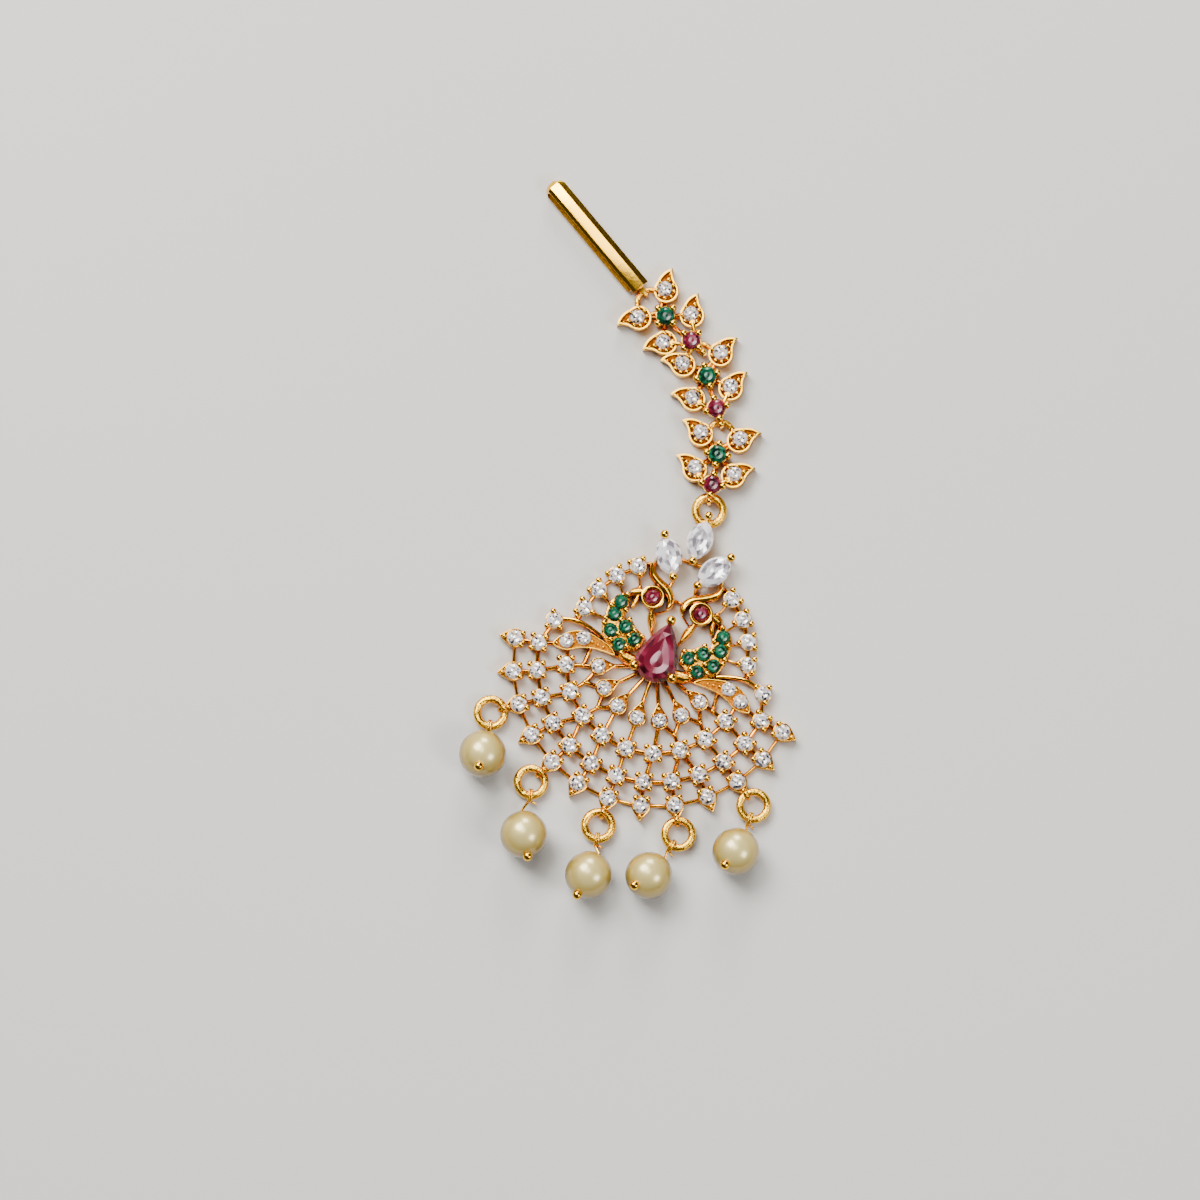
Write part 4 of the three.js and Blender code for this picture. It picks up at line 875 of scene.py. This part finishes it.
rings = {
    "mainRadius": 1.65, "mainWire": 0.5, "main": (10.058, 3.378), "mainHeight": 0.9,
    "dropRadius": 1.64, "dropWire": 0.47, "dropHeight": 0.87, "dropReach": 3.45,
}
mainRing = drawTorus("mainRing", wireGold, rings["mainRadius"], rings["mainWire"], 56, 18)
dropRing = drawTorus("dropRing", wireGold, rings["dropRadius"], rings["dropWire"], 56, 18)
ringCopy = stamp(mainRing, at(toMetres, *rings["main"], 0, rings["mainHeight"]))
finishPiece("mainRing", [ringCopy], "main_ring", smooth=60)

pearls = {
    # stone that the ring hangs on, step from the ring to the pearl, bearing and slope of the pin
    "drops": [(-4, 0.83, -5.18, 6.6, 56), (-2, 1.38, -6.38, 29.7, 28), (0, 0.95, -6.11, -8.9, 26),
              (2, -1.62, -6.0, -31.5, 46), (4, -0.13, -6.04, -17, 45)],
    "radius": 2.82, "pole": 0.992, "hole": 0.35,
    "pin": 0.16, "ball": 0.58, "ballOut": 0.34, "leaveOut": 0.3, "leaveLow": 0.25, "kneeShare": 1.1,
    "loopRadius": 0.72, "loopWire": 0.15, "loopStep": 0.27,
    "tailStart": 0.7, "tailSide": 0.7, "tailOut": 0.25, "tailRise": 0.1, "tailWire": 0.13,
}


def drawPearl(radius):
    deselectAll()
    bpy.ops.mesh.primitive_uv_sphere_add(segments=56, ring_count=40, radius=radius)
    pearl = bpy.context.object
    bpy.ops.object.mode_set(mode="EDIT")
    bpy.ops.mesh.select_mode(type="FACE")
    bpy.ops.mesh.select_all(action="DESELECT")
    for way in (1, -1):
        bpy.ops.object.mode_set(mode="OBJECT")
        for face in pearl.data.polygons:
            face.select = face.center.z * way > radius * pearls["pole"]
        bpy.ops.object.mode_set(mode="EDIT")
        bpy.ops.mesh.extrude_region_move(TRANSFORM_OT_translate={"value": (0, 0, -pearls["hole"] * way)})
        bpy.ops.mesh.select_all(action="DESELECT")
    bpy.ops.object.mode_set(mode="OBJECT")
    return keepShape(pearl, "pearlBall", pearlCoat)


def rodBetween(base, a, b, radius):
    way = b - a
    turn = way.to_track_quat("X", "Z").to_matrix().to_4x4()
    size = Matrix.Diagonal((way.length, 2 * radius, 2 * radius, 1))
    return stamp(rod, base @ Matrix.Translation((a + b) / 2) @ turn @ size)


pearlBall = drawPearl(pearls["radius"])
pinLoop = drawTorus("pinLoop", wireGold, pearls["loopRadius"], pearls["loopWire"], 32, 10)


def makeDrop(number, stone, dx, dy, bearing, slope):
    radius, reach = pearls["radius"], fan["outer"][0] + rings["dropReach"]
    ring = Vector((*polar(reach, stone * fan["outer"][2]), rings["dropHeight"]))
    ringCopy = stamp(dropRing, at(fanBase, ring.x, ring.y, 40 * number, ring.z))
    finishPiece(f"dropRing_{number}", [ringCopy], f"drop_ring_{number}", smooth=60)
    centre = Vector((ring.x + dx, ring.y + dy, radius))
    tilt = math.radians(slope)
    axis = Vector((*[v * math.cos(tilt) for v in polar(1, bearing)], math.sin(tilt)))
    turn = axis.to_track_quat("Z", "Y").to_matrix().to_4x4()
    ball = stamp(pearlBall, fanBase @ Matrix.Translation(centre) @ turn)
    finishPiece(f"fauxPearl_{number}", [ball], f"pearl_{number}", smooth=50)

    toPearl = Vector((dx, dy, 0)).normalized()
    side = Vector((-toPearl.y, toPearl.x, 0))
    wire = ring + toPearl * rings["dropRadius"]
    head = centre + axis * (radius + pearls["ballOut"])
    leave = centre - axis * (radius + pearls["leaveOut"])
    leave.z = max(leave.z, pearls["leaveLow"])
    shoulder = wire + toPearl * pearls["loopRadius"]
    upright = Matrix.Rotation(math.atan2(toPearl.y, toPearl.x), 4, "Z") @ Matrix.Rotation(math.pi / 2, 4, "X")
    made = [rodBetween(fanBase, head, leave, pearls["pin"]), rodBetween(fanBase, leave, shoulder, pearls["pin"])]
    for shape, spot, size in ((bead, leave, pearls["pin"] * pearls["kneeShare"]), (bigBead, head, pearls["ball"])):
        made.append(stamp(shape, fanBase @ Matrix.Translation(spot) @ Matrix.Scale(size, 4)))
    for shift in (0, pearls["loopStep"]):
        made.append(stamp(pinLoop, fanBase @ Matrix.Translation(wire + side * shift) @ upright))
    tail = wire + toPearl * pearls["tailStart"] + side * pearls["loopStep"]
    tailEnd = tail + side * pearls["tailSide"] + toPearl * pearls["tailOut"] + Vector((0, 0, pearls["tailRise"]))
    made.append(rodBetween(fanBase, tail, tailEnd, pearls["tailWire"]))
    finishPiece(f"headPin_{number}", made, f"head_pin_{number}", smooth=50)


for number, drop in enumerate(pearls["drops"], 1):
    makeDrop(number, *drop)
print("drops made")


hookShape = {"turn": 39.6, "edge": 0.0003, "segments": 5, "sharp": 22, "fold": 0.0012, "round": 0.6}


def roundFold(hook):
    # seen from above the fold is rounded off, as in wire strip that was bent by hand
    along = Matrix.Rotation(math.radians(hookShape["turn"]), 2) @ Vector((0, 1))
    across = Vector((along.y, -along.x))
    spots = [Vector(vertex.co[:2]) for vertex in hook.data.vertices]
    end = max(spot.dot(along) for spot in spots)
    centre = sum(spot.dot(across) for spot in spots) / len(spots)
    for vertex, spot in zip(hook.data.vertices, spots):
        share = max(1 - (end - spot.dot(along)) / hookShape["fold"], 0)
        offset = (spot.dot(across) - centre) * (math.sqrt(1 - hookShape["round"] * share * share) - 1)
        vertex.co.x += across.x * offset
        vertex.co.y += across.y * offset


def makeHook():
    deselectAll()
    hook = bpy.data.objects.new("hairHook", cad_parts["hook"].data.copy())
    bpy.context.collection.objects.link(hook)
    hook.data.materials.clear()
    hook.data.materials.append(polishedGold)
    hook.select_set(True)
    bpy.context.view_layer.objects.active = hook
    bpy.ops.object.mode_set(mode="EDIT")
    bpy.ops.mesh.select_all(action="SELECT")
    bpy.ops.mesh.remove_doubles(threshold=0.000002)
    bpy.ops.mesh.dissolve_limited(angle_limit=math.radians(1))
    bpy.ops.object.mode_set(mode="OBJECT")
    roundFold(hook)
    bevelShape(hook, hookShape["edge"], hookShape["segments"], hookShape["sharp"])
    finishPiece("hairHook", [hook], "hook", smooth=30)


makeHook()
print("hook made")

for shape in scratchShapes:
    bpy.data.objects.remove(shape, do_unlink=True)


studio = {
    "aim": (-0.00299, -0.00726, 0.0), "elevation": 82.5, "distance": 0.9, "frameWidth": 0.1433,
    "floorSize": 3, "floorDrop": -0.00003, "air": "#7E7A72", "airStrength": 0.3,
    # each softbox: place, size and watts
    "key": ((-0.22, 0.28, 0.45), 0.3, 5.6), "fill": ((0.35, -0.2, 0.4), 0.2, 1.8),
    "rim": ((0.05, 0.5, 0.22), 0.2, 2.4), "top": ((-0.1, 0.3, 1.25), 0.45, 5.0),
}


def makeFloor():
    deselectAll()
    bpy.ops.mesh.primitive_plane_add(size=studio["floorSize"], location=(0, 0, studio["floorDrop"]))
    floor = bpy.context.object
    mat, shader, coords = startMaterial("paleStudioCard")
    cloud = addNode(mat, "ShaderNodeTexNoise", {"Scale": 3, "Detail": 3}, {"Vector": coords})
    ramp = addNode(mat, "ShaderNodeValToRGB", links={0: cloud.outputs["Fac"]})
    setRamp(ramp, [(0.3, "#CBC8C2"), (0.7, "#D3D0CA")])
    mat.node_tree.links.new(ramp.outputs[0], shader.inputs["Base Color"])
    shader.inputs["Roughness"].default_value = 0.8
    floor.data.materials.append(mat)
    floor.name = "studioFloor"


def aimAt(obj, target):
    obj.rotation_mode = "QUATERNION"
    obj.rotation_quaternion = (Vector(target) - obj.location).to_track_quat("-Z", "Y")


def addSoftbox(name, spot, size, watts):
    lamp = bpy.data.lights.new(name, "AREA")
    lamp.shape, lamp.size, lamp.energy = "SQUARE", size, watts
    light = bpy.data.objects.new(name, lamp)
    bpy.context.collection.objects.link(light)
    light.location = spot
    aimAt(light, (0, 0, 0))


def makeAir():
    world = bpy.data.worlds.new("studioAir")
    world.use_nodes = True
    glow = world.node_tree.nodes["Background"]
    glow.inputs[0].default_value = hexColour(studio["air"])
    glow.inputs[1].default_value = studio["airStrength"]
    bpy.context.scene.world = world


def makeCamera():
    data = bpy.data.cameras.new("photoCamera")
    camera = bpy.data.objects.new("photoCamera", data)
    bpy.context.collection.objects.link(camera)
    tilt = math.radians(studio["elevation"])
    aim = Vector(studio["aim"])
    camera.location = aim + Vector((0, -math.cos(tilt), math.sin(tilt))) * studio["distance"]
    aimAt(camera, aim)
    data.sensor_width = 36
    data.lens = data.sensor_width * studio["distance"] / studio["frameWidth"]
    data.clip_start, data.clip_end = 0.01, 10
    bpy.context.scene.camera = camera


makeFloor()
for name in ("key", "fill", "rim", "top"):
    addSoftbox(name + "Softbox", *studio[name])
makeAir()
makeCamera()
print("studio ready")
